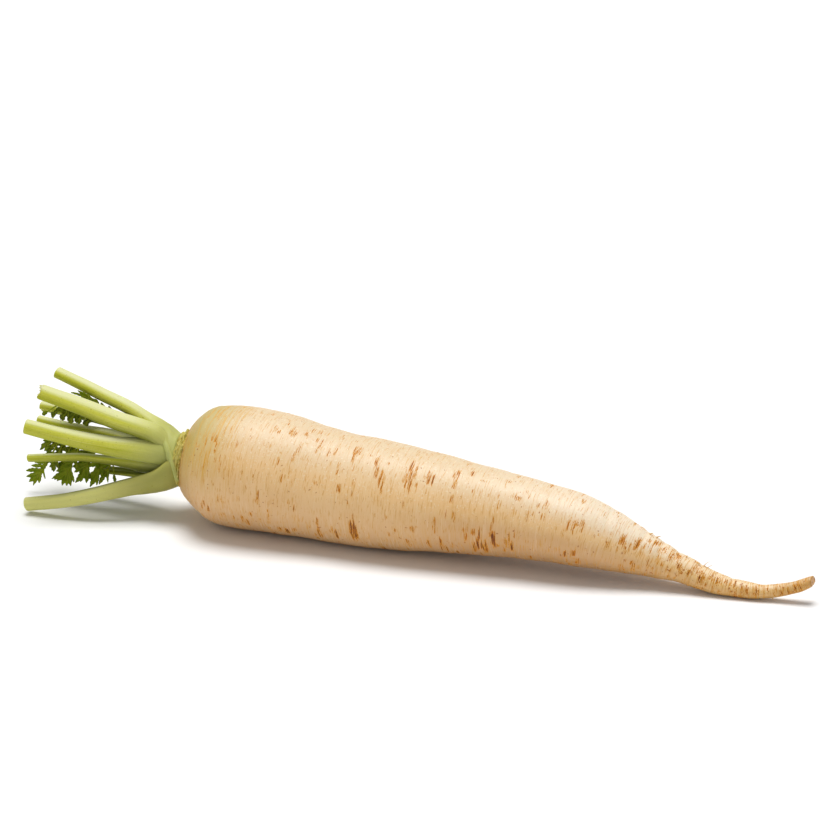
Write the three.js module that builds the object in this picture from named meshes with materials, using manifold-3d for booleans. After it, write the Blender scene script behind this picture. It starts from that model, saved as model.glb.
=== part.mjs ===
// A parsnip lying on its side, with its leaf stalks cut short: a long tapering taproot, the ringed
// crown on its shoulder, eight cut stalks and two young feathery leaves left among them.
// Millimetres, +Z up. The floor is z = 0, and the origin is on it, in the middle of the flat that
// the taproot rests on. +X runs to the tail, and -Y is the side that most of the stalks lean to.
import * as THREE from "three";
import Module from "manifold-3d";

const wasm = await Module();
wasm.setup();
const { CrossSection, Manifold, Mesh } = wasm;

const GAP = 0.3; // left between neighbouring pieces
const FINEST = 0.02; // slivers left by a cut are merged away below this size

// ---------------------------------------------------------------------------------------------
// Taproot
// ---------------------------------------------------------------------------------------------
const FLAT_DEPTH = 0.5; // how deep the resting flat is pared into the round underside
const ROOT_SIDES = 32;
const SHOULDER_END = -60; // between here and the crown the root's sections turn to face the crown

// Down the taproot from the crown: x, radius, height of the centreline, sideways drift.
const ROOT_PROFILE = [
  [-72.8, 10.9, 23.4, 0],
  [-72.3, 12.5, 23.7, 0],
  [-70.8, 14.8, 24.0, 0],
  [-67, 18.2, 24.2, 0],
  [-60, 22.1, 24.0, 0],
  [-50, 23.9, 23.9 - FLAT_DEPTH, 0],
  [-35, 23.4, 23.4 - FLAT_DEPTH, 0],
  [-15, 21.6, 21.6 - FLAT_DEPTH, 0],
  [10, 20.7, 20.7 - FLAT_DEPTH, 0],
  [45, 17.4, 19.6, 0],
  [70, 15.0, 18.6, 0],
  [92, 12.8, 16.2, 0],
  [108, 9.3, 12.4, 0],
  [124, 5.8, 8.5, -0.3],
  [141, 4.0, 4.2, -0.9],
  [156, 2.8, 3.1, -0.2],
  [167, 2.3, 5.2, 1.6],
  [176, 2.2, 8.6, 3.4],
];

// Creases that run part of the way round: x, depth, half-width, and the angle each is deepest at.
const ROOT_CREASES = [
  [-20, 0.2, 1.3, 1.9],
  [25, 0.25, 1.3, 1.6],
  [58, 0.25, 1.2, 1.0],
  [97, 0.35, 1.1, 1.7],
  [111, 0.4, 1.0, 0.9],
  [118, 0.35, 0.9, 1.8],
  [124, 0.35, 0.9, 1.1],
  [133, 0.35, 0.9, 1.5],
  [146, 0.3, 0.8, 1.2],
];

// ---------------------------------------------------------------------------------------------
// Crown: a ringed collar of old leaf scars between the shoulder and the stalks
// ---------------------------------------------------------------------------------------------
const CROWN_AXIS = [-0.979, -0.166, 0.117]; // the way the crown faces
const CROWN_START = [-72.8, 0, 23.5]; // on the shoulder
const CROWN_END = [-76.9, -0.5, 23.0]; // where the stalks start
const CROWN_SIDES = 40;

// Along the crown, as a share of the way to the stalks: share, radius.
const CROWN_PROFILE = [
  [0.08, 10.4],
  [0.16, 10.9],
  [0.28, 10.4],
  [0.42, 10.7],
  [0.56, 10.2],
  [0.7, 10.4],
  [0.82, 10.0],
  [0.91, 9.6],
];

// ---------------------------------------------------------------------------------------------
// Stalks
// ---------------------------------------------------------------------------------------------
const STALK_SIDES = 16;
const SHEATH_RADIUS = 9.0; // the sheaths wrap round the rosette's axis at this distance
const SHEATH_END = 13; // by this far from its base a stalk's section has stopped wrapping
const TURN_START = 3; // up to here the sections stay square to the crown's axis
const CHANNEL_DEPTH = 0.35; // groove along the inner side, as a share of the half-thickness
const END_BEVEL = 0.35;
const BASE_EXCESS = 0.9; // stalks are drawn this far into the crown and then trimmed at its end

// Each stalk: its path from base to cut end, the clock angle its back faces (0 is up, 90 is -Y)
// at its base and past its sheath, and its girth as distance along it, half-width, half-thickness.
// They are listed from the outside of the rosette in: each gives way to those before it.
const STALKS = [
  {
    name: "stalk_top",
    faces: [0, -6],
    path: [
      [-75.8, -0.4, 32.0],
      [-79.2, 0.2, 33.3],
      [-82.6, 0.7, 34.5],
      [-88.6, 1.5, 36.4],
      [-97.5, 2.5, 40.1],
      [-108.8, 3.0, 43.8],
      [-119.2, 3.5, 47.3],
      [-129.4, 4.0, 50.5],
    ],
    girth: [
      [0, 14.2, 1.1],
      [1.6, 13.2, 1.2],
      [2.8, 11.0, 1.4],
      [4.3, 8.0, 1.7],
      [7, 5.2, 2.2],
      [10, 4.1, 2.7],
      [14, 3.5, 2.9],
      [30, 3.1, 2.8],
      [60, 2.8, 2.5],
    ],
  },
  {
    name: "stalk_bottom",
    faces: [140, 114],
    path: [
      [-76.7, -6.3, 15.9],
      [-79.8, -6.9, 14.9],
      [-82.6, -7.8, 14.1],
      [-85.6, -9.0, 13.7],
      [-89.8, -10.8, 13.3],
      [-96.1, -13.6, 12.3],
      [-103.9, -16.8, 10.5],
      [-116, -19.4, 7.4],
      [-132.9, -20.6, 3.7],
    ],
    girth: [
      [0, 12.2, 1.5],
      [2.5, 10.9, 2.4],
      [5.5, 8.6, 2.9],
      [9, 6.5, 3.0],
      [14, 4.9, 3.1],
      [22, 3.9, 3.0],
      [38, 3.2, 2.8],
      [60, 2.9, 2.7],
    ],
  },
  {
    name: "stalk_front",
    faces: [78, 58],
    path: [
      [-76.3, -5.2, 25.2],
      [-81.2, -6.2, 27.1],
      [-85.1, -7.2, 27.4],
      [-88.7, -8.4, 27.8],
      [-98.9, -12, 29.4],
      [-109.3, -15, 31.5],
      [-120, -17.5, 33.9],
      [-132, -20, 36.6],
    ],
    girth: [
      [0, 4.2, 2.6],
      [5, 4.8, 3.2],
      [12, 4.6, 3.5],
      [22, 3.8, 3.3],
      [40, 3.2, 3.0],
      [60, 2.9, 2.7],
    ],
  },
  {
    name: "stalk_upper",
    faces: [26, 22],
    path: [
      [-76.1, -3.2, 29.0],
      [-80.4, -3.7, 31.9],
      [-84.4, -4.4, 34.1],
      [-89.5, -5.8, 36.1],
      [-98.2, -8, 38.9],
      [-111.2, -10, 43.4],
      [-128.6, -12, 48.4],
    ],
    girth: [
      [0, 3.0, 2.4],
      [5, 3.8, 3.0],
      [9, 4.3, 3.5],
      [20, 4.2, 3.4],
      [38, 3.7, 3.1],
      [60, 3.3, 2.9],
    ],
    ragged: 0.9,
  },
  {
    name: "stalk_lower",
    faces: [128, 118],
    path: [
      [-77.0, -3.6, 19.6],
      [-83, -4.2, 19.8],
      [-89.6, -4.6, 20.0],
      [-96, -4.9, 20.4],
      [-103.6, -5.3, 20.6],
      [-113.1, -6.0, 20.6],
      [-122.7, -7.0, 19.7],
      [-137.5, -8.5, 17.9],
    ],
    girth: [
      [0, 2.6, 1.9],
      [6, 3.6, 2.6],
      [14, 3.2, 2.4],
      [25, 2.1, 1.9],
      [60, 1.7, 1.6],
    ],
  },
  {
    name: "stalk_far",
    faces: [-66, -40],
    path: [
      [-77.9, 4.9, 25.2],
      [-84, 5.6, 26.9],
      [-95, 6.4, 29.6],
      [-108.3, 6.6, 31.3],
      [-121.6, 7.0, 32.6],
      [-138.5, 7.0, 33.8],
    ],
    girth: [
      [0, 2.7, 2.0],
      [8, 3.3, 2.7],
      [20, 2.9, 2.6],
      [60, 2.5, 2.3],
    ],
  },
  {
    name: "stalk_behind",
    faces: [-140, -150],
    path: [
      [-78.5, 3.4, 18.3],
      [-85, 3.7, 15.0],
      [-95.0, 4.3, 12.5],
      [-104.1, 5.0, 11.6],
      [-115.2, 5.5, 11.0],
    ],
    girth: [
      [0, 2.2, 1.8],
      [10, 2.3, 2.0],
      [28, 1.8, 1.6],
      [40, 1.6, 1.4],
    ],
  },
  {
    name: "stalk_inner",
    faces: [-8, -8],
    path: [
      [-77.3, 0.4, 23.6],
      [-88.6, 0.8, 25.6],
      [-98.5, 1.0, 27.4],
      [-107.7, 1.2, 28.4],
      [-117.4, 1.5, 29.0],
      [-126.8, 1.7, 29.4],
      [-137.5, 1.8, 30.4],
    ],
    girth: [
      [0, 1.9, 1.6],
      [14, 2.9, 2.7],
      [30, 2.7, 2.5],
      [39, 2.1, 1.9],
      [60, 1.9, 1.7],
    ],
  },
];

// ---------------------------------------------------------------------------------------------
// Leaves
// ---------------------------------------------------------------------------------------------
const BLADE_THICKNESS = 0.7;
const RACHIS_SIDES = 8;
const BLADE_FOLD = 0.18; // how steeply a blade rises to each side of its midrib
const BLADE_CURL = 0.06; // how far its tip bends the same way, by its length
const STEM_HALF = 0.4; // half-width of a leaflet's own stem and midrib
const FINGER_ANGLES = [48, 22]; // degrees from the midrib, of a plain leaflet's lowest fingers and highest
const FINGER_LENGTHS = [0.34, 0.24]; // the same fingers, by the leaflet's length

// Outline of one finger, from its root to its point: shares of its length and of its half-width.
const FINGER_SHAPE = [
  [0, 0.7],
  [0.45, 1],
  [0.8, 0.66],
  [1, 0],
];

// Each leaf: its rachis from base to tip with its half-thickness at each point, and its leaflets.
// A leaflet grows from a share of the way along the rachis to a tip. Its blade is the middle finger:
// the share of the length it starts at, and its half-width. Each other finger is a share of the
// length, degrees from the midrib (above 0 toward the crown), a length and a half-width; a plain
// leaflet has a number of pairs of them by rule instead.
const LEAVES = [
  {
    name: "leaf_lower",
    rachis: [
      [-77.9, 1.2, 20.2, 1.1],
      [-84, 1.8, 20.0, 1.1],
      [-89.4, 2.0, 20.0, 1.1],
      [-97.8, 1.9, 20.2, 1.0],
      [-104.0, 1.8, 20.3, 0.95],
      [-112.2, 1.8, 21.0, 0.85],
      [-119.5, 1.6, 21.7, 0.75],
      [-125.4, 1.2, 22.8, 0.65],
      [-130.4, 0.8, 23.7, 0.5],
    ],
    leaflets: [
      {
        at: 0.95,
        tip: [-139.4, -1.0, 2.8],
        blade: [0.46, 0.85],
        fingers: [
          [0.1, -42, 4.6, 0.9],
          [0.28, -36, 4.8, 0.8],
          [0.3, 34, 4.0, 0.8],
          [0.5, -60, 5.2, 0.45],
          [0.57, -60, 5.6, 0.75],
          [0.66, -56, 6.8, 0.85],
          [0.7, -40, 6.6, 0.9],
          [0.75, -24, 5.6, 0.9],
          [0.72, 24, 4.2, 0.75],
          [0.62, 44, 4.6, 0.35],
        ],
      },
      {
        at: 0.79,
        tip: [-126.5, -1.0, 4.6],
        blade: [0.5, 1.15],
        fingers: [
          [0.1, -40, 5.0, 0.9],
          [0.12, 40, 4.4, 0.8],
          [0.28, -40, 5.6, 0.9],
          [0.3, 36, 4.4, 0.8],
          [0.4, -40, 5.8, 0.8],
          [0.54, -50, 6.2, 0.95],
          [0.58, -35, 8.6, 0.85],
          [0.62, -32, 7.3, 0.8],
          [0.66, -26, 6.1, 0.8],
          [0.62, 17, 6.4, 1.05],
          [0.6, 33, 6.6, 0.9],
          [0.58, 47, 5.7, 0.75],
        ],
      },
      {
        at: 0.655,
        tip: [-121.0, -0.5, 6.4],
        blade: [0.36, 1.3],
        fingers: [
          [0.1, -40, 4.6, 0.9],
          [0.14, 38, 4.0, 0.8],
          [0.38, -38, 5.2, 0.9],
          [0.5, -28, 5.6, 0.9],
          [0.46, 33, 7.4, 1.15],
          [0.58, 18, 5.6, 1.05],
        ],
      },
      {
        at: 0.565,
        tip: [-114.9, 0.2, 5.2],
        blade: [0.3, 1.25],
        fingers: [
          [0.12, -40, 4.4, 0.9],
          [0.28, -43, 6.6, 1.1],
          [0.5, -23, 6.7, 1.0],
          [0.5, 21, 6.6, 0.8],
          [0.36, 30, 5.0, 0.9],
          [0.6, 10, 5.0, 0.7],
        ],
      },
      {
        at: 0.49,
        tip: [-111.2, 0.7, 6.6],
        blade: [0.5, 0.9],
        fingers: [
          [0.14, -42, 5.0, 1.0],
          [0.28, -30, 6.2, 1.0],
          [0.46, 29, 6.1, 0.55],
        ],
      },
      { at: 0.53, tip: [-104.3, 1.0, 8.5], blade: [0.76, 0.7], fingers: [] },
      {
        at: 1.0,
        tip: [-136.5, 0.2, 18.0],
        blade: [0.15, 0.9],
        fingers: [
          [0.2, -38, 3.9, 0.7],
          [0.42, -24, 3.4, 0.6],
          [0.42, 22, 3.9, 0.75],
        ],
      },
      { at: 0.97, tip: [-133.5, 0.4, 17.1], blade: [0.15, 0.95], pairs: 2, finger: 0.7, seed: 2 },
      { at: 0.92, tip: [-131.6, 0.4, 9.9], blade: [0.6, 0.6], pairs: 2, finger: 0.7, seed: 3 },
      { at: 0.9, tip: [-130.9, 1.4, 15.4], blade: [0.15, 0.95], pairs: 3, finger: 0.8, seed: 4 },
      { at: 0.85, tip: [-128.8, 1.7, 10.3], blade: [0.15, 1.0], pairs: 3, finger: 0.9, seed: 5 },
      { at: 0.82, tip: [-125.9, 1.9, 15.9], blade: [0.15, 0.95], pairs: 3, finger: 0.8, seed: 6 },
      { at: 0.71, tip: [-122.1, 1.9, 11.3], blade: [0.15, 1.0], pairs: 3, finger: 0.9, seed: 7 },
      { at: 0.68, tip: [-118.0, 1.9, 16.6], blade: [0.15, 0.9], pairs: 3, finger: 0.7, seed: 8 },
    ],
  },
  {
    name: "leaf_upper",
    rachis: [
      [-77.1, 1.6, 27.4, 1.1],
      [-84, 1.5, 28.3, 1.1],
      [-92.9, 1.2, 31.7, 1.05],
      [-101.3, 1.2, 35.4, 0.95],
      [-107.2, 1.0, 37.9, 0.85],
      [-111.8, 0.8, 39.3, 0.75],
      [-117.2, 0.4, 40.5, 0.65],
      [-122.2, 0.0, 40.7, 0.55],
      [-125.4, -0.5, 40.3, 0.5],
    ],
    leaflets: [
      { at: 1.0, tip: [-133.8, -1.5, 34.4], blade: [0.78, 0.85], fingers: [] },
      { at: 0.97, tip: [-129.6, -2.2, 34.2], blade: [0.2, 0.8], pairs: 2, finger: 0.7, seed: 21 },
      { at: 0.89, tip: [-125.9, -1.8, 33.2], blade: [0.15, 1.0], pairs: 3, finger: 0.9, seed: 22 },
      { at: 0.83, tip: [-122.4, -1.5, 32.2], blade: [0.15, 1.1], pairs: 3, finger: 1.0, seed: 23 },
      { at: 0.77, tip: [-119.3, -1.2, 32.4], blade: [0.15, 1.1], pairs: 3, finger: 1.0, seed: 24 },
      { at: 0.7, tip: [-115.8, -1.0, 32.0], blade: [0.15, 1.0], pairs: 3, finger: 0.95, seed: 25 },
      {
        at: 0.53,
        tip: [-118.2, 0.0, 46.6],
        blade: [0.5, 0.95],
        fingers: [
          [0.15, -42, 3.8, 0.7],
          [0.3, -26, 3.6, 0.7],
          [0.48, -28, 2.9, 0.65],
          [0.66, -26, 2.4, 0.6],
          [0.62, 15, 9.8, 0.5],
          [0.72, 30, 3.2, 0.7],
        ],
      },
      { at: 0.92, tip: [-127.2, -1.8, 36.6], blade: [0.15, 0.9], pairs: 2, finger: 0.9, seed: 26 },
    ],
  },
];

const MATERIALS = {
  root_skin: new THREE.MeshStandardMaterial({ color: 0xe9cda3, roughness: 0.62 }),
  crown_scar: new THREE.MeshStandardMaterial({ color: 0xc9c27c, roughness: 0.7 }),
  stalk_flesh: new THREE.MeshStandardMaterial({ color: 0xb7c860, roughness: 0.45 }),
  leaf_blade: new THREE.MeshStandardMaterial({ color: 0x45691c, roughness: 0.55 }),
};

// ---------------------------------------------------------------------------------------------
// Shared geometry
// ---------------------------------------------------------------------------------------------
const vector = (x, y, z) => new THREE.Vector3(x, y, z);

/** A smooth curve through the values that never swings past them. */
function through(at, values) {
  const last = at.length - 1;
  const step = at.slice(1).map((x, i) => x - at[i]);
  const slope = step.map((h, i) => (values[i + 1] - values[i]) / h);
  const tangent = values.map((_, i) => {
    if (i === 0) return slope[0];
    if (i === last) return slope[last - 1];
    const [before, after] = [slope[i - 1], slope[i]];
    if (before * after <= 0) return 0;
    const mean = (before * step[i] + after * step[i - 1]) / (step[i - 1] + step[i]);
    return Math.sign(mean) * Math.min(Math.abs(mean), 3 * Math.abs(before), 3 * Math.abs(after));
  });
  return (x) => {
    let i = 0;
    while (i < last - 1 && x > at[i + 1]) i += 1;
    const t = Math.min(Math.max((x - at[i]) / step[i], 0), 1);
    const [t2, t3] = [t * t, t * t * t];
    return (
      (2 * t3 - 3 * t2 + 1) * values[i] +
      (t3 - 2 * t2 + t) * step[i] * tangent[i] +
      (3 * t2 - 2 * t3) * values[i + 1] +
      (t3 - t2) * step[i] * tangent[i + 1]
    );
  };
}

/** One smooth curve for each column of a table, by its first column. */
function columnsOf(rows) {
  const at = rows.map((row) => row[0]);
  return rows[0].slice(1).map((_, c) => through(at, rows.map((row) => row[c + 1])));
}

/** A path through points: its length, and the point and direction at a distance along it. */
function pathThrough(points) {
  const at = [0];
  for (let i = 1; i < points.length; i += 1) {
    const [a, b] = [points[i - 1], points[i]];
    at.push(at[i - 1] + Math.hypot(b[0] - a[0], b[1] - a[1], b[2] - a[2]));
  }
  const axes = [0, 1, 2].map((axis) => through(at, points.map((p) => p[axis])));
  const point = (s) => vector(...axes.map((axis) => axis(s)));
  const length = at[at.length - 1];
  const direction = (s) => {
    const ahead = point(Math.min(s + 0.2, length));
    return ahead.sub(point(Math.max(s - 0.2, 0))).normalize();
  };
  return { length, point, direction, at };
}

/** A solid from vertices and outward triangles. */
function solidFrom(vertices, triangles) {
  const mesh = new Mesh({
    numProp: 3,
    vertProperties: Float32Array.from(vertices.flatMap((v) => [v.x, v.y, v.z])),
    triVerts: Uint32Array.from(triangles.flat()),
  });
  return new Manifold(mesh);
}

/** A solid through rings of equal count, each right-handed about the direction of travel. */
function loft(rings) {
  const sides = rings[0].length;
  const vertices = rings.flat();
  const triangles = [];
  for (let i = 0; i + 1 < rings.length; i += 1) {
    for (let k = 0; k < sides; k += 1) {
      const next = (k + 1) % sides;
      const [a, b] = [i * sides + k, i * sides + next];
      triangles.push([a, b, b + sides], [a, b + sides, a + sides]);
    }
  }
  const last = (rings.length - 1) * sides;
  for (const [ring, first, turned] of [[rings[0], 0, true], [rings.at(-1), last, false]]) {
    const centre = vertices.length;
    vertices.push(ring.reduce((sum, v) => sum.add(v), vector(0, 0, 0)).divideScalar(sides));
    for (let k = 0; k < sides; k += 1) {
      const [a, b] = [first + k, first + ((k + 1) % sides)];
      triangles.push(turned ? [centre, b, a] : [centre, a, b]);
    }
  }
  return solidFrom(vertices, triangles);
}

/** The largest of a solid's separate bodies, without slivers. */
function largestBody(solid) {
  return solid.simplify(FINEST).decompose().sort((a, b) => b.volume() - a.volume())[0];
}

/** A named mesh of a solid, for the exported group. */
function meshOf(name, solid, material) {
  const { numProp, vertProperties, triVerts } = solid.getMesh();
  const corners = new Float32Array(triVerts.length * 3);
  triVerts.forEach((v, i) => corners.set(vertProperties.subarray(v * numProp, v * numProp + 3), i * 3));
  const geometry = new THREE.BufferGeometry();
  geometry.setAttribute("position", new THREE.BufferAttribute(corners, 3));
  geometry.computeVertexNormals();
  const mesh = new THREE.Mesh(geometry, material);
  mesh.name = name;
  return mesh;
}

// ---------------------------------------------------------------------------------------------
// Taproot
// ---------------------------------------------------------------------------------------------

/** How far the skin stands from the centreline at x, at an angle round it (90 degrees is up). */
function rootRadius(x, angle, radius) {
  const swell = 0.006 * Math.sin(2 * angle + x / 17) + 0.005 * Math.sin(3 * angle - x / 9 + 1.2);
  let skin = radius * (1 + swell);
  for (const [at, depth, width, deepest] of ROOT_CREASES) {
    const reach = Math.exp(-(((x - at) / width) ** 2));
    skin -= depth * reach * (0.5 + 0.5 * Math.cos(angle - deepest));
  }
  return skin;
}

/** Where rings are lofted: closer round the shoulder, down the tail and at each crease. */
function rootRingPositions() {
  const first = ROOT_PROFILE[0][0];
  const last = ROOT_PROFILE.at(-1)[0];
  const at = [first, -72.3, -71.6, -70, -67.5, -64.5, -61, -57, -52];
  for (let x = -46; x < 90; x += 6.5) at.push(x);
  for (let x = 92; x < last - 1; x += 3.5) at.push(x);
  for (const [x, , width] of ROOT_CREASES) at.push(x - width, x, x + width);
  at.push(last - 0.5, last);
  at.sort((a, b) => a - b);
  return at.filter((x, i) => i === 0 || x - at[i - 1] > 0.35);
}

function taproot() {
  const [radiusAt, heightAt, driftAt] = columnsOf(ROOT_PROFILE);
  const first = ROOT_PROFILE[0][0];
  const last = ROOT_PROFILE.at(-1)[0];
  const centre = (x) => vector(x, driftAt(x), heightAt(x));
  const rings = rootRingPositions().map((x) => {
    const travel = centre(x + 0.5).sub(centre(x - 0.5)).normalize();
    if (x < SHOULDER_END) {
      const turn = THREE.MathUtils.smoothstep(SHOULDER_END - x, 0, SHOULDER_END - first);
      travel.set(1, 0, 0).lerp(vector(...CROWN_AXIS).negate(), turn).normalize();
    }
    const up = vector(0, 0, 1).addScaledVector(travel, -travel.z).normalize();
    const side = up.clone().cross(travel);
    const blunt = x === last ? 0.82 : 1; // the tail's end is snapped off and worn round
    return Array.from({ length: ROOT_SIDES }, (_, k) => {
      const angle = (2 * Math.PI * k) / ROOT_SIDES;
      const skin = rootRadius(x, angle, radiusAt(x)) * blunt;
      const p = centre(x);
      p.addScaledVector(side, skin * Math.cos(angle)).addScaledVector(up, skin * Math.sin(angle));
      p.z = Math.max(p.z, 0);
      return p;
    });
  });
  return loft(rings);
}

// ---------------------------------------------------------------------------------------------
// Crown
// ---------------------------------------------------------------------------------------------
function crown() {
  const travel = vector(...CROWN_AXIS).normalize();
  const up = vector(0, 0, 1).addScaledVector(travel, -travel.z).normalize();
  const across = up.clone().cross(travel);
  const rings = CROWN_PROFILE.map(([share, radius], row) => {
    const inside = row > 0 && row + 1 < CROWN_PROFILE.length;
    const centre = vector(...CROWN_START).lerp(vector(...CROWN_END), share);
    return Array.from({ length: CROWN_SIDES }, (_, k) => {
      const angle = (2 * Math.PI * k) / CROWN_SIDES;
      const wave = inside ? 0.12 * Math.sin(5 * angle + row) + 0.08 * Math.sin(9 * angle - 2 * row) : 0;
      const out = radius + (inside ? 0.22 * Math.sin(13 * angle + 1.7 * row) : 0);
      const p = centre.clone().addScaledVector(travel, wave);
      return p.addScaledVector(across, out * Math.cos(angle)).addScaledVector(up, out * Math.sin(angle));
    });
  });
  return loft(rings);
}

// ---------------------------------------------------------------------------------------------
// Stalks
// ---------------------------------------------------------------------------------------------

/** A solid's part on the stalks' side of the crown's end. */
function beyondCrown(solid) {
  const axis = vector(...CROWN_AXIS).normalize();
  return solid.trimByPlane(axis.toArray(), axis.dot(vector(...CROWN_END)));
}

/** Distances along a stalk for its rings, closer where the sheath narrows into the stalk. */
function stalkRingPositions(length) {
  const at = [0, 0.7, 1.4, 2.1, 2.8, 3.5, 4.4, 5.8, 8, 10.5, 14];
  const rest = 6;
  for (let i = 1; i <= rest; i += 1) at.push(14 + ((length - END_BEVEL - 14) * i) / rest);
  at.push(length);
  return at;
}

/** The outline of a stalk's section: a rounded back, and a channel down its inner side. */
function stalkSection(halfWidth, halfThickness, wrap) {
  return Array.from({ length: STALK_SIDES }, (_, k) => {
    const angle = (2 * Math.PI * k) / STALK_SIDES;
    const u = halfWidth * Math.cos(angle);
    let v = halfThickness * Math.sin(angle);
    if (v < 0) v = 0.85 * v + CHANNEL_DEPTH * halfThickness * Math.exp(-((Math.cos(angle) / 0.4) ** 2));
    if (wrap < 1e-4) return [u, v];
    return [Math.sin(wrap * u) * (1 / wrap + v), Math.cos(wrap * u) * (1 / wrap + v) - 1 / wrap];
  });
}

/** A stalk, or with grow above 0 the space that its neighbours leave for it. */
function stalkSolid(stalk, grow = 0) {
  const path = pathThrough(stalk.path);
  const axis = vector(...CROWN_AXIS).normalize();
  const [halfWidthAt, halfThicknessAt] = columnsOf(stalk.girth);
  const positions = stalkRingPositions(path.length);
  const rings = positions.map((s, i) => {
    const past = THREE.MathUtils.smoothstep(s, 1, SHEATH_END);
    const faces = THREE.MathUtils.degToRad(THREE.MathUtils.lerp(...stalk.faces, past));
    const back = vector(0, -Math.sin(faces), Math.cos(faces));
    const travel = axis.clone().lerp(path.direction(s), THREE.MathUtils.smoothstep(s, TURN_START, SHEATH_END)).normalize();
    const out = back.addScaledVector(travel, -travel.dot(back)).normalize();
    const across = out.clone().cross(travel);
    const end = i === positions.length - 1;
    const bevel = end ? END_BEVEL : 0;
    const wrap = (1 - past) / SHEATH_RADIUS;
    const section = stalkSection(halfWidthAt(s) + grow - bevel, halfThicknessAt(s) + grow - bevel, wrap);
    const centre = path.point(s);
    if (i === 0) centre.addScaledVector(axis, -BASE_EXCESS);
    if (end) centre.addScaledVector(travel, grow);
    return section.map(([u, v], k) => {
      const p = centre.clone().addScaledVector(across, u).addScaledVector(out, v);
      const torn = end && stalk.ragged ? stalk.ragged * Math.sin(2.3 * k * k) : 0;
      return p.addScaledVector(travel, torn);
    });
  });
  return loft(rings);
}

/** Every stalk, each cut back from those outside it, and the space that each one takes. */
function stalkSolids() {
  const made = [];
  const taken = [];
  for (const stalk of STALKS) {
    let solid = beyondCrown(stalkSolid(stalk));
    for (const space of taken) solid = solid.subtract(space);
    made.push([stalk.name, largestBody(solid)]);
    taken.push(stalkSolid(stalk, GAP));
  }
  return { made, taken };
}

// ---------------------------------------------------------------------------------------------
// Leaves
// ---------------------------------------------------------------------------------------------

/** A repeatable stream of numbers from 0 to 1. */
function seeded(seed) {
  let state = (seed * 2654435761) >>> 0;
  return () => {
    state = (Math.imul(state ^ (state >>> 15), 2246822519) + 3266489917) >>> 0;
    return state / 4294967296;
  };
}

/** One finger as a polygon in the plane of the blade, the midrib lying along x. */
function fingerPolygon(start, degrees, length, halfWidth) {
  const turn = THREE.MathUtils.degToRad(degrees);
  const [cos, sin] = [Math.cos(turn), Math.sin(turn)];
  const near = FINGER_SHAPE.map(([a, w]) => [a * length, -w * halfWidth]);
  const far = FINGER_SHAPE.slice(0, -1).reverse().map(([a, w]) => [a * length, w * halfWidth]);
  return [...near, ...far].map(([a, w]) => [start + a * cos - w * sin, a * sin + w * cos]);
}

/** The fingers of a plain leaflet, in pairs up its midrib. */
function plainFingers({ blade, pairs, finger, seed }, length) {
  const random = seeded(seed);
  const fingers = [];
  for (let i = 0; i < pairs; i += 1) {
    const share = i / (pairs - 1);
    for (const side of [1, -1]) {
      const start = THREE.MathUtils.lerp(blade[0], 0.72, share) + 0.05 * random();
      const angle = THREE.MathUtils.lerp(...FINGER_ANGLES, share) + 12 * (random() - 0.5);
      const long = length * THREE.MathUtils.lerp(...FINGER_LENGTHS, share) * (0.85 + 0.3 * random());
      fingers.push([start, side * angle, long, finger]);
    }
  }
  return fingers;
}

/** A leaflet's cut outline: its stem, its middle finger and the fingers to each side. */
function leafletOutline(leaflet, length) {
  const [start, halfWidth] = leaflet.blade;
  const stemEnd = (0.4 + 0.6 * start) * length;
  const fingers = leaflet.fingers ?? plainFingers(leaflet, length);
  const polygons = [
    [[-0.4, -STEM_HALF], [stemEnd, -STEM_HALF], [stemEnd, STEM_HALF], [-0.4, STEM_HALF]],
    fingerPolygon(start * length, 0, (1 - start) * length, halfWidth),
    ...fingers.map(([share, degrees, long, half]) => fingerPolygon(share * length, degrees, long, half)),
  ];
  return CrossSection.ofPolygons(polygons, "NonZero").simplify(0.06);
}

/** A leaflet's blade, from its base on the rachis to its tip, folded a little along its midrib. */
function leafletSolid(leaflet, base, facing) {
  const tip = vector(...leaflet.tip);
  const along = tip.clone().sub(base);
  const length = along.length();
  along.normalize();
  const normal = facing.clone().addScaledVector(along, -along.dot(facing)).normalize();
  const across = normal.clone().cross(along);
  const plate = leafletOutline(leaflet, length).extrude(BLADE_THICKNESS, 0, 0, [1, 1], true);
  return plate.warp((v) => {
    const [a, w, t] = v;
    const lift = t + BLADE_FOLD * Math.abs(w) + (BLADE_CURL * a * a) / length;
    const p = base.clone().addScaledVector(along, a).addScaledVector(across, w);
    p.addScaledVector(normal, lift);
    [v[0], v[1], v[2]] = p.toArray();
  });
}

/** A leaf's rachis, from the crown to its last leaflet. */
function rachisSolid(leaf, path) {
  const axis = vector(...CROWN_AXIS).normalize();
  const halfAt = through(path.at, leaf.rachis.map((p) => p[3]));
  const steps = 2 * leaf.rachis.length;
  const rings = Array.from({ length: steps + 1 }, (_, i) => {
    const s = (path.length * i) / steps;
    const travel = i === 0 ? axis : path.direction(s);
    const centre = path.point(s);
    if (i === 0) centre.addScaledVector(axis, -BASE_EXCESS);
    const out = vector(0, 0, 1).addScaledVector(travel, -travel.z).normalize();
    const across = out.clone().cross(travel);
    return Array.from({ length: RACHIS_SIDES }, (_, k) => {
      const angle = (2 * Math.PI * k) / RACHIS_SIDES;
      const p = centre.clone().addScaledVector(across, halfAt(s) * Math.cos(angle));
      return p.addScaledVector(out, halfAt(s) * Math.sin(angle));
    });
  });
  return loft(rings);
}

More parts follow.
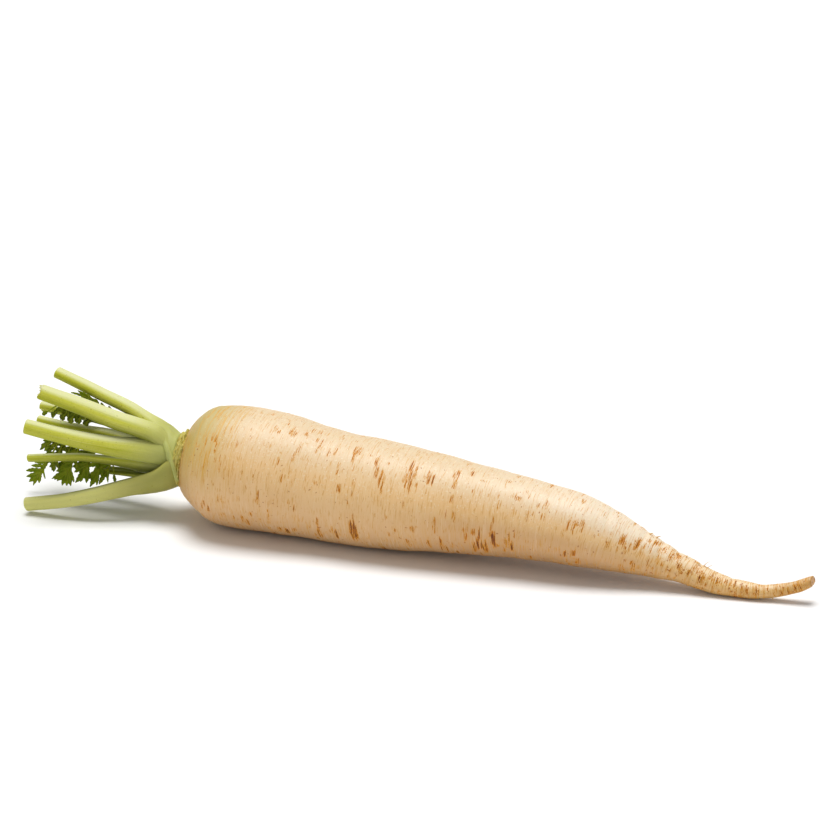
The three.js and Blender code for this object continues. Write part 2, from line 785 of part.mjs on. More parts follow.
/** A leaf: its rachis, cut back from the stalks, with every leaflet joined on. */
function leafSolid(leaf, taken) {
  const path = pathThrough(leaf.rachis);
  let solid = beyondCrown(rachisSolid(leaf, path));
  for (const space of taken) solid = solid.subtract(space);
  solid = largestBody(solid);
  for (const leaflet of leaf.leaflets) {
    const base = path.point(Math.min(leaflet.at * path.length, path.length - 0.4));
    solid = solid.add(leafletSolid(leaflet, base, vector(0, -1, 0)));
  }
  return largestBody(solid); // the outer surface alone, without voids closed in between leaflets
}

// ---------------------------------------------------------------------------------------------
// The part
// ---------------------------------------------------------------------------------------------
const group = new THREE.Group();
group.add(meshOf("taproot", taproot(), MATERIALS.root_skin));
group.add(meshOf("crown", crown(), MATERIALS.crown_scar));
const stalks = stalkSolids();
for (const [name, solid] of stalks.made) group.add(meshOf(name, solid, MATERIALS.stalk_flesh));
for (const leaf of LEAVES) group.add(meshOf(leaf.name, leafSolid(leaf, stalks.taken), MATERIALS.leaf_blade));

export default group;
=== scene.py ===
"""A parsnip lying on its side: its finished surfaces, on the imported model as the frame.

The tables are in millimetres, in the part's own frame: +X runs to the tail, +Z is up, and the
floor is z = 0. They follow those of part.mjs, with the feet of stalk_bottom and stalk_front
moved by less than a millimetre, and each mesh is made from them in finer steps.
"""

import math
import random
from collections import namedtuple

import bpy
import numpy as np
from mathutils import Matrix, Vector

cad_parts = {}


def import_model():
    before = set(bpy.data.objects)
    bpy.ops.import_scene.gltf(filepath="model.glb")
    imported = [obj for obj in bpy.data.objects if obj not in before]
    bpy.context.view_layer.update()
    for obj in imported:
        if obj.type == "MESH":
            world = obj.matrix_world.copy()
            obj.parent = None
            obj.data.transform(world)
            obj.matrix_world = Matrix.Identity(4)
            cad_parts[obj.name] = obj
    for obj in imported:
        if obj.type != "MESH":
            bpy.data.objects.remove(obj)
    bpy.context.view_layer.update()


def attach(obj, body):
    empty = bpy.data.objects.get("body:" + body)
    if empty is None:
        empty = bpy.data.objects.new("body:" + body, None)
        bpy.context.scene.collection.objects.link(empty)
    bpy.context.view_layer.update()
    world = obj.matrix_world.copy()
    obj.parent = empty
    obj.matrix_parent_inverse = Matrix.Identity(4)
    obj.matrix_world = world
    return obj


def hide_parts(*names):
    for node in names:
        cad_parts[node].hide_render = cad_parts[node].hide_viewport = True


MM = 0.001
UP = np.array([0, 0, 1.0])


# Shared geometry
# ---------------
def between(start, end, share):
    return start + (end - start) * share


def smoothstep(x, low, high):
    t = np.clip((np.asarray(x, float) - low) / (high - low), 0, 1)
    return t * t * (3 - 2 * t)


def bell(x, width):
    """1 in the middle, and nearly 0 at twice the width."""
    return np.exp(-((x / width) ** 2))


def turns(count):
    """Angles of equal steps round a circle."""
    return np.linspace(0, 2 * np.pi, count, endpoint=False)


def away_from(angle, middle):
    """The signed turn from middle to each angle, the short way round."""
    return np.angle(np.exp(1j * (angle - middle)))


def unit(v):
    v = np.asarray(v, float)
    return v / np.linalg.norm(v, axis=-1, keepdims=True)


def cross_axes(travel, out):
    """Unit directions across and out from travel, square to it."""
    out = unit(out - travel * np.sum(out * travel, axis=-1, keepdims=True))
    return np.cross(out, travel), out


def spokes(across, out, angle):
    """The direction at each angle round a path: 0 is across, a quarter turn is out."""
    across, out = across[..., None, :], out[..., None, :]
    return across * np.cos(angle)[:, None] + out * np.sin(angle)[:, None]


def through(at, values):
    """A smooth curve through the values that never swings past them."""
    at = np.asarray(at, float)
    values = np.asarray(values, float)
    step = np.diff(at)
    slope = np.diff(values) / step
    before, after = slope[:-1], slope[1:]
    mean = (before * step[1:] + after * step[:-1]) / (step[:-1] + step[1:])
    steepest = np.minimum(np.abs(mean), 3 * np.minimum(np.abs(before), np.abs(after)))
    turning = np.where(before * after > 0, np.copysign(steepest, mean), 0)
    tangent = np.concatenate([slope[:1], turning, slope[-1:]])

    def value(x):
        x = np.asarray(x, float)
        i = np.clip(np.searchsorted(at, x, side="right") - 1, 0, len(at) - 2)
        t = np.clip((x - at[i]) / step[i], 0, 1)
        start = (2 * t**3 - 3 * t**2 + 1) * values[i] + (t**3 - 2 * t**2 + t) * step[i] * tangent[i]
        end = (3 * t**2 - 2 * t**3) * values[i + 1] + (t**3 - t**2) * step[i] * tangent[i + 1]
        return start + end

    return value


def columns_of(rows):
    """One smooth curve for each column of a table, by its first column."""
    at, *columns = zip(*rows)
    return [through(at, column) for column in columns]


class Path:
    """A smooth path through points, measured by distance along it."""

    def __init__(self, points):
        points = np.asarray(points, float)
        spans = np.linalg.norm(np.diff(points, axis=0), axis=1)
        self.at = np.concatenate([[0], np.cumsum(spans)])
        self.length = self.at[-1]
        self.axes = [through(self.at, column) for column in points.T]

    def point(self, s):
        return np.stack([axis(s) for axis in self.axes], axis=-1)

    def direction(self, s):
        ahead = self.point(np.minimum(np.asarray(s) + 0.2, self.length))
        behind = self.point(np.maximum(np.asarray(s) - 0.2, 0))
        return unit(ahead - behind)


class Shell:
    """Points, faces and per-point values, gathered into one mesh."""

    def __init__(self, *value_names):
        self.points = []
        self.faces = []
        self.values = {name: [] for name in value_names}
        self.count = 0

    def add(self, points, faces, **values):
        for face in faces:
            self.faces.append([int(v) + self.count for v in face])
        self.points.append(points)
        for name, stored in self.values.items():
            value = np.asarray(values.get(name, 0), float)
            stored.append(np.broadcast_to(value, (len(points),)))
        self.count += len(points)

    def add_loft(self, rings, **values):
        """A closed skin through rings of equal count, right-handed about the way they go."""
        rings = np.asarray(rings, float)
        count, sides = rings.shape[:2]
        caps = np.stack([rings[0].mean(axis=0), rings[-1].mean(axis=0)])
        steps = [(k, (k + 1) % sides) for k in range(sides)]
        last = (count - 1) * sides
        faces = []
        for i in range(0, last, sides):
            faces += [(i + a, i + b, i + b + sides, i + a + sides) for a, b in steps]
        cap = count * sides
        for a, b in steps:
            faces += [(cap, b, a), (cap + 1, last + a, last + b)]
        filled = {}
        for name, value in values.items():
            value = np.broadcast_to(np.asarray(value, float), (count, sides))
            ends = [value[0].mean(), value[-1].mean()]
            filled[name] = np.concatenate([value.reshape(-1), ends])
        self.add(np.concatenate([rings.reshape(-1, 3), caps]), faces, **filled)

    def make(self, name, material):
        mesh = bpy.data.meshes.new(name)
        points = np.concatenate(self.points) * MM
        mesh.from_pydata(points.tolist(), [], self.faces)
        for value_name, stored in self.values.items():
            attribute = mesh.attributes.new(value_name, "FLOAT", "POINT")
            attribute.data.foreach_set("value", np.concatenate(stored).astype(np.float32))
        mesh.polygons.foreach_set("use_smooth", [True] * len(mesh.polygons))
        mesh.materials.append(material)
        mesh.update()
        piece = bpy.data.objects.new(name, mesh)
        bpy.context.scene.collection.objects.link(piece)
        return piece


def add_fibre(shell, points, radii, sides=6, **values):
    """A thin tapered thread through points."""
    path = Path(points)
    s = np.linspace(0, path.length, max(6, 2 * len(points)))
    half = through(np.linspace(0, path.length, len(radii)), radii)(s)
    across, out = cross_axes(path.direction(s), np.array([0.13, 0.31, 0.94]))
    ring = spokes(across, out, turns(sides)) * half[:, None, None]
    shell.add_loft(path.point(s)[:, None] + ring, **values)


# Materials
# ---------
def srgb(red, green, blue):
    """A colour from 0-255 screen values."""
    screen = np.array([red, green, blue]) / 255
    linear = np.where(screen <= 0.04045, screen / 12.92, ((screen + 0.055) / 1.055) ** 2.4)
    return (*linear.tolist(), 1.0)


class Field:
    """A value that varies over a surface: the output of a shader node, open to arithmetic."""

    def __init__(self, finish, socket):
        self.finish = finish
        self.socket = socket

    def __add__(self, other):
        return self.finish.maths("ADD", self, other)

    def __sub__(self, number):
        return self + -number

    def __mul__(self, other):
        return self.finish.maths("MULTIPLY", self, other)

    def rise(self, low, high):
        """0 below low, 1 above high, smooth between; turned round if low is above high."""
        inputs = {"Value": self, "From Min": min(low, high), "From Max": max(low, high)}
        if low > high:
            inputs |= {"To Min": 1.0, "To Max": 0.0}
        smooth = {"interpolation_type": "SMOOTHSTEP"}
        return self.finish.node("ShaderNodeMapRange", "Result", inputs, **smooth)


class Finish:
    """A material laid down node by node: a base colour, then stains over it."""

    def __init__(self, name, **shader):
        self.material = bpy.data.materials.new(name)
        self.material.use_nodes = True
        self.tree = self.material.node_tree
        self.place = self.node("ShaderNodeTexCoord", "Object")
        self.colour = None
        self.wear(**shader)

    def wear(self, **sockets):
        """Sets the shader's own inputs."""
        shader = self.tree.nodes["Principled BSDF"]
        for name, value in sockets.items():
            self.feed(shader.inputs[name.replace("_", " ")], value)

    def feed(self, socket, value):
        if isinstance(value, Field):
            self.tree.links.new(value.socket, socket)
        else:
            socket.default_value = value

    def node(self, kind, output, inputs=None, **settings):
        """One output of a new node, whose inputs are fed by name or number."""
        node = self.tree.nodes.new(kind)
        for key, value in settings.items():
            setattr(node, key, value)
        for key, value in (inputs or {}).items():
            self.feed(node.inputs[key], value)
        return Field(self, node.outputs[output])

    def maths(self, operation, a, b):
        return self.node("ShaderNodeMath", "Value", {0: a, 1: b}, operation=operation)

    def value(self, name):
        """A value that the mesh carries at each point."""
        return self.node("ShaderNodeAttribute", "Fac", attribute_name=name)

    def axis(self, name):
        """The place along X, Y or Z, in metres."""
        return self.node("ShaderNodeSeparateXYZ", name, {"Vector": self.place})

    def noise(self, scale, detail=3.0, roughness=0.55, place=None):
        inputs = {"Scale": scale, "Detail": detail, "Roughness": roughness}
        inputs["Vector"] = place or self.place
        return self.node("ShaderNodeTexNoise", "Fac", inputs)

    def stretched(self, fields, scales, detail=3.0, roughness=0.55):
        """Noise of three fields, each with its own scale."""
        scaled = {axis: field * scale for axis, field, scale in zip("XYZ", fields, scales)}
        place = self.node("ShaderNodeCombineXYZ", "Vector", scaled)
        return self.noise(1.0, detail, roughness, place)

    def mix(self, share, *colours):
        """Between two colours, each a field or a screen tone."""
        inputs = {"Factor": share}
        for name, colour in zip("AB", colours):
            inputs[name] = colour if isinstance(colour, Field) else srgb(*colour)
        return self.node("ShaderNodeMix", "Result", inputs, data_type="RGBA")

    def stain(self, amount, strength, *tone):
        """Lays a screen tone over the colour, where and as strongly as given."""
        self.colour = self.mix(amount * strength, self.colour, tone)

    def done(self, height, strength, distance, **sockets):
        """The material, with its colour and with bumps of a distance in millimetres."""
        inputs = {"Height": height, "Strength": strength, "Distance": distance * MM}
        bump = self.node("ShaderNodeBump", "Normal", inputs)
        self.wear(Base_Color=self.colour, Normal=bump, **sockets)
        return self.material


def skin_finish():
    """The root's skin: cream with fine rings, orange-brown spots and a greenish shoulder."""
    skin = Finish(
        "parsnip_root_skin",
        IOR=1.42,
        Specular_IOR_Level=0.48,
        Subsurface_Weight=0.08,
        Subsurface_Radius=(1.0, 0.6, 0.3),
        Subsurface_Scale=0.002,
        Coat_Weight=0.1,
        Coat_Roughness=0.45,
    )
    run = skin.value("run")  # millimetres along the skin from the crown
    up = skin.value("up")  # -1 at the bottom to 1 at the top
    spot = skin.value("spot")
    tail = skin.value("tail")
    cut = skin.value("cut")
    z = skin.axis("Z")
    winding = (run, skin.axis("Y"), z)

    # Rings: noise that changes fast along the skin and slowly round it.
    fine = skin.stretched(winding, (2, 90, 90), 4, 0.65)
    broad = skin.stretched(winding, (0.6, 45, 45))
    skin.colour = skin.mix(skin.noise(38).rise(0.35, 0.7), (244, 203, 146), (238, 193, 132))
    # Painted light: paler where the skin faces up, and palest on top toward the tail.
    skin.stain(up.rise(0.35, 1), 0.9, 229, 207, 172)
    skin.stain(up.rise(0.3, 0.95) * run.rise(110, 200), 0.9, 246, 230, 206)
    # Painted shade: darker and browner where the skin faces down, most of all toward the tail.
    skin.stain(up.rise(0.3, -0.6), 0.9, 212, 172, 125)
    skin.stain(up.rise(0.35, 0) * run.rise(95, 130), 0.25, 186, 126, 74)
    skin.stain(up.rise(-0.2, -0.9) * run.rise(100, 200), 0.55, 152, 112, 66)
    # Rings in the skin's own colour.
    skin.stain(broad.rise(0.52, 0.72), 0.16, 222, 168, 84)
    skin.stain(fine.rise(0.53, 0.7), 0.36, 220, 164, 74)
    skin.stain(fine.rise(0.46, 0.3), 0.3, 250, 226, 188)

    # Painted glints: pale flecks on the upper side.
    skin.stain(skin.noise(1300, 1).rise(0.6, 0.7) * up.rise(-0.1, 0.7), 0.35, 255, 244, 220)
    # Painted shade: brown along the bottom, where it lies on the floor.
    skin.stain(z.rise(0.0035, 0.0002), 0.4, 126, 88, 52)

    # Shoulder: green where it stood out of the soil, with yellow rings.
    skin.stain(run.rise(38, 6) * z.rise(0.014, 0.044), 0.85, 182, 164, 72)
    skin.stain(run.rise(14, 2), 0.35, 196, 154, 78)
    lines = skin.stretched(winding, (2.6, 50, 50), 2, 0.6).rise(0.54, 0.62)
    skin.stain(lines * run.rise(46, 22) * z.rise(0.01, 0.034), 0.75, 222, 164, 34)

    # A brown dotted edge where the shoulder meets the crown.
    skin.stain(skin.noise(600, 2).rise(0.44, 0.6) * run.rise(6.5, 1), 0.75, 170, 106, 34)

    # Tail: denser and browner.
    ring = skin.stretched(winding, (1.6, 70, 70), 4, 0.7)
    skin.stain(tail, 0.4, 236, 194, 112)
    skin.stain(run.rise(238, 250), 0.5, 200, 150, 76)
    skin.stain(tail * ring.rise(0.55, 0.64), 0.6, 184, 120, 16)

    # Spots: the soft streaks of the mesh, broken into dashes and specks, fainter by the crown.
    dash = skin.stretched(winding, (3, 200, 200), 2, 0.6)
    speck = skin.stretched(winding, (3.5, 1300, 1300), 2, 0.6)
    amount = spot * 1.2 + dash * 3.2 + speck - 2.22
    amount = amount + tail * ((speck - 0.5) * 1.6 - 0.12) + run.rise(46, 22) * -0.18
    within = spot.rise(0.04, 0.2)
    mark = amount.rise(0.17, 0.44) * within
    skin.stain(spot.rise(0, 0.9), 0.35, 228, 170, 82)
    skin.stain(mark, 0.9, 220, 150, 6)
    skin.stain(amount.rise(0.36, 0.62) * within, 1, 188, 108, 0)
    skin.stain(amount.rise(0.58, 0.94) * spot.rise(0.32, 0.64), 1, 106, 50, 0)

    # Short dashes and dots all over, thicker low down and on the tail.
    density = z.rise(0.024, 0.004) * 0.04 + tail * 0.03
    scatter = skin.stretched(winding, (2.4, 240, 240), 2, 0.6) + density
    skin.stain(scatter.rise(0.58, 0.67), 0.6, 212, 148, 40)
    skin.stain((skin.noise(900, 1, 0.4) + density).rise(0.725, 0.8), 0.75, 172, 92, 0)

    # The snapped tail end.
    skin.stain(cut, 1, 222, 168, 104)
    skin.stain(cut * skin.noise(1100, 1).rise(0.54, 0.62), 0.85, 118, 62, 14)
    skin.stain(cut.rise(0, 0.25) * cut.rise(0.8, 0.3), 0.6, 146, 92, 34)

    height = fine + broad * 0.3 + skin.noise(1100, 2) * 0.25 + mark * -0.4
    return skin.done(height, 0.45, 0.18, Roughness=fine * 0.25 + mark * 0.2 + 0.34)


def crown_finish():
    """Old leaf scars: fibrous, yellow-green to tan, with painted brown shade in the folds."""
    scar = Finish(
        "parsnip_crown_scar",
        Roughness=0.62,
        Specular_IOR_Level=0.3,
        Subsurface_Weight=0.15,
        Subsurface_Radius=(0.8, 0.7, 0.25),
        Subsurface_Scale=0.002,
    )
    patch = scar.noise(260)
    streak = scar.noise(900)
    scar.colour = scar.mix(patch.rise(0.38, 0.66), (200, 190, 88), (188, 168, 64))
    scar.stain(streak.rise(0.5, 0.7), 0.4, 170, 140, 44)
    scar.stain(scar.value("strand"), 0.95, 224, 218, 130)
    # Painted shade: brown in the folds between the ridges.
    scar.stain(scar.value("deep"), 0.85, 158, 122, 10)
    scar.stain(scar.value("brown"), 0.8, 182, 126, 22)
    scar.stain(scar.value("sheath"), 1, 184, 188, 106)
    return scar.done(streak + patch, 0.6, 0.25)


def stalk_finish():
    """A leaf stalk with fine ribs and small dark dots, a painted highlight above and painted shade
    below.
    """
    flesh = Finish(
        "parsnip_stalk",
        Roughness=0.45,
        IOR=1.4,
        Specular_IOR_Level=0.22,
        Subsurface_Weight=0.12,
        Subsurface_Radius=(0.8, 1.0, 0.25),
        Subsurface_Scale=0.003,
    )
    along = flesh.value("along")  # millimetres from the base
    turn = flesh.value("turn")  # -1 in the channel to 1 on the back
    up = flesh.value("up")  # -1 where the surface faces down to 1 where it faces up
    cut = flesh.value("cut")  # 1 on the side and at the rim of the cut to 0 at its middle
    tan = flesh.value("tan")
    lengthwise = (along, flesh.value("rib"), turn)
    streak = flesh.stretched(lengthwise, (0.06, 9, 5))
    band = flesh.stretched(lengthwise, (0.03, 3, 1.5))
    grain = flesh.noise(1400, 2)

    # Painted shade: deeper green where the surface faces down.
    flesh.colour = flesh.mix(up.rise(-0.9, -0.1), (152, 158, 20), (204, 204, 76))
    flesh.stain(streak.rise(0.42, 0.7), 0.45, 224, 222, 128)
    flesh.stain(grain.rise(0.5, 0.7), 0.3, 166, 172, 48)
    flesh.stain(band.rise(0.5, 0.66), 0.6, 178, 182, 22)
    flesh.stain(flesh.noise(120).rise(0.5, 0.75), 0.3, 190, 188, 50)
    flesh.stain(along.rise(30, 60), 0.3, 188, 190, 36)
    flesh.stain(along.rise(26, 4), 0.6, 188, 190, 122)
    # Painted highlight: pale where the surface faces up, past the base.
    flesh.stain(up.rise(0.55, 0.95) * along.rise(4, 24), 0.85, 222, 223, 172)
    flesh.stain(along.rise(16, 1), 0.6, 176, 180, 106)
    flesh.stain(tan, 1.4, 218, 214, 138)
    flesh.stain(tan * along.rise(34, 6), 1.4, 156, 152, 70)

    # Painted shade inside the bunch, underneath and in the crease along each side; and dark dots.
    flesh.stain(flesh.value("inner"), 0.95, 94, 102, 0)
    flesh.stain((turn * turn).rise(0.05, 0) * along.rise(9, 5), 0.8, 108, 106, 4)
    flesh.stain(flesh.noise(1500, 0).rise(0.8, 0.85), 0.6, 124, 112, 10)

    # The cut face: green rim, pale pith.
    pith = flesh.mix(cut.rise(0.45, 0.95), (222, 222, 170), (176, 184, 84))
    pith = flesh.mix(flesh.noise(1500, 1).rise(0.56, 0.66) * 0.35, pith, (168, 142, 74))
    flesh.colour = flesh.mix(flesh.value("face"), flesh.colour, pith)
    return flesh.done(grain * 0.3 + streak, 0.4, 0.15)


def leaf_finish():
    """Leaf blades: dark green with paler veins, lighter on young tips and rachis; painted shade
    behind.
    """
    blade = Finish(
        "parsnip_leaf",
        Roughness=0.55,
        Specular_IOR_Level=0.15,
        Subsurface_Weight=0.2,
        Subsurface_Radius=(0.6, 1.0, 0.1),
        Subsurface_Scale=0.001,
    )
    blade.colour = blade.mix(blade.noise(240).rise(0.35, 0.7), (112, 128, 2), (138, 148, 14))
    # Painted shade: darker on the leaflets that lie behind, in shadow.
    blade.stain(blade.value("shade"), 0.95, 36, 42, 0)
    blade.stain(blade.value("vein"), 0.6, 172, 176, 52)
    blade.stain(blade.value("stem"), 0.9, 144, 152, 22)
    return blade.done(blade.noise(1600, 2), 0.35, 0.1)


# Taproot
# -------
FLAT_DEPTH = 0.5  # how much of its underside the floor takes off
SHOULDER_END = -60  # where the sections have turned from the crown's axis to the root's own
ROOT_SEED = 7
ROOT_SIDES = 240
SHOULDER_RINGS = 70  # close together, up to x = DENSE_END
DENSE_END = -52
BODY_RINGS = 326
LUMP_HEIGHT = 0.07
FINE_RINGS = 170
SPOT_DEPTH = 0.1
SPOT_SPREAD = 0.75  # of a group of spots, times the square root of its count
FAINT_SPOTS = 620

# x, radius, height of the centreline, sideways drift
ROOT_PROFILE = [
    (-72.8, 10.9, 23.4, 0), (-72.3, 12.5, 23.7, 0), (-70.8, 14.8, 24.0, 0), (-67, 18.2, 24.2, 0),
    (-60, 22.1, 24.0, 0),
    (-50, 23.9, 23.9 - FLAT_DEPTH, 0),
    (-35, 23.4, 23.4 - FLAT_DEPTH, 0),
    (-15, 21.6, 21.6 - FLAT_DEPTH, 0),
    (10, 20.7, 20.7 - FLAT_DEPTH, 0),
    (45, 17.4, 19.6, 0), (70, 15.0, 18.6, 0), (92, 12.8, 16.2, 0), (108, 9.3, 12.4, 0),
    (124, 5.8, 8.5, -0.3), (141, 4.0, 4.2, -0.9), (156, 2.8, 3.1, -0.2), (167, 2.3, 5.2, 1.6),
    (176, 2.2, 8.6, 3.4),
]

# x, depth, half-width, angle where it is deepest
ROOT_CREASES = [
    (-20, 0.1, 1.3, 1.9), (25, 0.1, 1.3, 1.6), (58, 0.12, 1.2, 1.0), (97, 0.2, 1.1, 1.7),
    (111, 0.4, 1.0, 0.9), (118, 0.35, 0.9, 1.8), (124, 0.35, 0.9, 1.1), (133, 0.35, 0.9, 1.5),
    (146, 0.3, 0.8, 1.2),
]

# Orange-brown breathing spots, each a streak round the root: x, clock angle in degrees
# (90 is up, 180 is -Y), how many lie together, half-length, strength.
SPOT_GROUPS = [
    (3, 202, 3, 4.5, 1.0), (6, 202, 2, 3.2, 1.0), (24, 124, 6, 2.8, 0.7), (30, 128, 3, 2.4, 0.75),
    (12, 132, 4, 2.6, 0.7), (40, 118, 3, 2.4, 0.55), (46, 106, 1, 1.6, 0.6),
    (53, 204, 7, 3.0, 0.95), (58, 198, 3, 2.6, 0.95), (64, 188, 2, 2.0, 0.6),
    (48, 196, 1, 2.8, 0.4), (38, 210, 3, 2.6, 0.8), (24, 216, 2, 1.8, 0.6), (18, 200, 1, 1.2, 0.6),
    (28, 190, 1, 1.6, 0.6), (36, 182, 1, 3.2, 0.4), (43, 168, 3, 2.4, 0.5), (90, 144, 1, 2.0, 0.8),
    (86, 146, 2, 2.0, 0.5), (76, 142, 2, 2.0, 0.45), (64, 126, 2, 1.5, 0.5),
    (0, 118, 4, 1.8, 0.55), (2, 132, 1, 2.0, 0.5), (-4, 134, 1, 2.4, 0.5), (-8, 118, 2, 1.4, 0.6),
    (-22, 124, 1, 2.4, 0.5), (-27, 112, 2, 2.0, 0.5), (-22, 104, 1, 1.2, 0.7),
    (-14, 108, 3, 2.0, 0.4), (-23, 134, 1, 2.8, 0.4), (-34, 118, 2, 1.4, 0.5),
    (-28, 142, 1, 1.2, 0.5), (-52, 148, 2, 1.2, 0.7), (-56, 156, 1, 2.8, 0.6),
    (-48, 154, 2, 2.2, 0.6), (-40, 160, 1, 1.2, 0.7), (-46, 164, 2, 2.0, 0.35),
    (-48, 182, 2, 2.0, 0.6), (-56, 200, 3, 1.8, 0.7), (-32, 182, 2, 2.2, 0.6),
    (-40, 206, 8, 1.8, 0.65), (-20, 184, 2, 1.2, 0.65), (-2, 156, 1, 1.6, 0.6),
    (-9, 210, 3, 1.8, 0.75), (-25, 218, 1, 1.2, 0.8), (-56, 110, 2, 2.2, 0.5),
    (-55, 132, 2, 2.0, 0.7), (-50, 124, 2, 2.0, 0.45), (105, 138, 3, 2.2, 0.45),
    (111, 134, 3, 1.9, 0.65), (116, 110, 4, 1.6, 0.75), (124, 110, 3, 2.2, 0.75),
    (111, 196, 3, 1.2, 0.75), (117, 186, 2, 1.8, 0.5), (124, 200, 1, 1.2, 0.8),
    (129, 152, 3, 1.6, 0.8), (133, 122, 2, 2.0, 0.5), (137, 160, 3, 1.5, 0.85),
    (142, 142, 3, 1.6, 0.6), (146, 134, 3, 1.5, 0.75), (152, 172, 3, 1.4, 0.55),
    (156, 160, 2, 1.6, 0.7), (161, 164, 2, 1.6, 0.55), (166, 188, 2, 1.5, 0.6),
    (171.5, 186, 6, 1.7, 0.62),
]

# Lone spots: how many, then ranges of x, clock angle, half-length, half-width, strength
SPOT_SCATTERS = [
    (60, (-50, 120), (195, 345), (1, 3.2), (0.5, 0.8), (0.4, 1)),
    (160, (104, 175), (0, 360), (0.4, 1.5), (0.28, 0.45), (0.2, 0.65)),
]

# Fine rootlets on the tail: x, clock angle, length, lean along x, half-thickness
ROOTLETS = [
    (112, 84, 0.9, 1.4, 0.3), (114.5, 78, 1.1, 1.7, 0.26), (127, 88, 1.2, 0.7, 0.16),
    (131.5, 92, 1.0, 1.2, 0.2), (133, 94, 1.6, -0.8, 0.1), (134, 84, 2.9, 1.6, 0.12),
    (135.5, 76, 1.9, 1.8, 0.1), (151, 210, 1.0, 1.0, 0.18), (161, 238, 1.0, 0.4, 0.26),
]

# The snapped end: how far its face leans to the side and its underside is worn back, in shares
# of the radius; the length over which the skin follows; and the rings of the face, as share of
# the radius and how far out they stand.
SNAP_SLOPE = 0.28
SNAP_WEAR = 0.5
SNAP_REACH = 6.0
SNAP_FACE = [(0.93, 0.25), (0.8, 0.35), (0.6, 0.25), (0.35, 0.3), (0.12, 0.2)]


def spot_streaks(generator):
    """Every spot as x, angle, half-length, half-width and strength."""
    spots = []
    for x, clock, count, half_length, strength in SPOT_GROUPS:
        spread = 0.0 if count == 1 else SPOT_SPREAD * math.sqrt(count)
        for _ in range(count):
            at = x + generator.gauss(0, spread)
            angle = math.radians(clock + generator.gauss(0, 5 * spread))
            long = half_length * generator.uniform(0.8, 1.5)
            strong = strength * generator.uniform(0.75, 1.1)
            spots.append((at, angle, long, generator.uniform(0.45, 0.75), strong))
    for _ in range(FAINT_SPOTS):
        at = generator.uniform(-68, 174)
        angle = generator.uniform(0, 2 * math.pi)
        low = 0.5 - 0.5 * math.sin(angle)
        strong = generator.uniform(0.15, 0.45 + 0.3 * low)
        long = generator.uniform(0.5, 2.4)
        spots.append((at, angle, long, generator.uniform(0.45, 0.7), strong))
    for count, *ranges in SPOT_SCATTERS:
        for _ in range(count):
            at, clock, long, thin, strong = [generator.uniform(*limits) for limits in ranges]
            spots.append((at, math.radians(clock), long, thin, strong))
    return spots


def root_frame(x):
    """Centre, sideways and up directions, and radius, of the root's sections at each x."""
    radius, height, drift = columns_of(ROOT_PROFILE)

    def centre(at):
        return np.stack([at, drift(at), height(at)], axis=-1)

    travel = unit(centre(x + 0.5) - centre(x - 0.5))
    turn = smoothstep(SHOULDER_END - x, 0, SHOULDER_END - ROOT_PROFILE[0][0])[:, None]
    facing = unit(between(np.array([1.0, 0, 0]), -CROWN_AXIS, turn))
    travel = np.where(x[:, None] < SHOULDER_END, facing, travel)
    side, up = cross_axes(travel, UP)
    return centre(x), side, up, radius(x)


def root_surface(x, angle, radius, generator):
    """The root's radius at each point, with its swells, lumps, creases and fine rings."""
    along = x[:, None]
    swell = 0.006 * np.sin(2 * angle + along / 17) + 0.005 * np.sin(3 * angle - along / 9 + 1.2)
    lumps = np.sin(along / 2.6 + 1.3 * np.cos(angle))
    lumps += np.sin(along / 3.9 - 1.7 * np.sin(angle) + 1)
    lumps += np.sin(along / 1.7 + 2.3 * np.sin(angle + 2)) * smoothstep(along, 90, 120)
    skin = radius[:, None] * (1 + swell) + LUMP_HEIGHT * lumps
    for at, depth, width, deepest in ROOT_CREASES:
        skin -= depth * bell(along - at, width) * (0.5 + 0.5 * np.cos(angle - deepest))
    for _ in range(FINE_RINGS):
        at = generator.uniform(x[0] + 3, x[-1])
        depth = generator.uniform(0.01, 0.05)
        width = generator.uniform(0.35, 0.8)
        middle = generator.uniform(0, 2 * math.pi)
        part_way = bell(away_from(angle, middle), generator.uniform(0.5, 2.0))
        wander = 0.5 * np.sin(2 * angle + middle)
        skin -= depth * part_way * bell(along - at - wander, width)
    return skin


def spot_field(x, angle, radius, generator):
    """How strongly a spot marks each point of the root."""
    spot = np.zeros((len(x), len(angle)))
    for at, middle, half_length, half_width, strength in spot_streaks(generator):
        near = np.abs(x - at) < 4 * half_width
        away = np.abs(away_from(angle, middle)) * radius[near][:, None]
        mark = strength * np.exp(-((away / half_length) ** 4))
        mark *= bell(x[near][:, None] - at, half_width)
        spot[near] = np.maximum(spot[near], mark)
    return spot


def add_rootlets(shell, generator):
    """Fine threads that stand on the skin, coloured as the skin beside them."""
    for at, clock, length, lean, half in ROOTLETS:
        centre, side, up, radius = (value[0] for value in root_frame(np.array([float(at)])))
        out = spokes(side, up, np.radians([clock]))[0]
        start = centre + out * (radius - 0.4)
        bend = np.array([lean, 0.25 * generator.uniform(-1, 1), 0])
        points = [start, start + out * length * 0.5 + bend * 0.4, start + out * length * 0.85 + bend]
        add_fibre(shell, points, [1.3 * half, half, 0.3 * half], run=at + 80, tail=1)


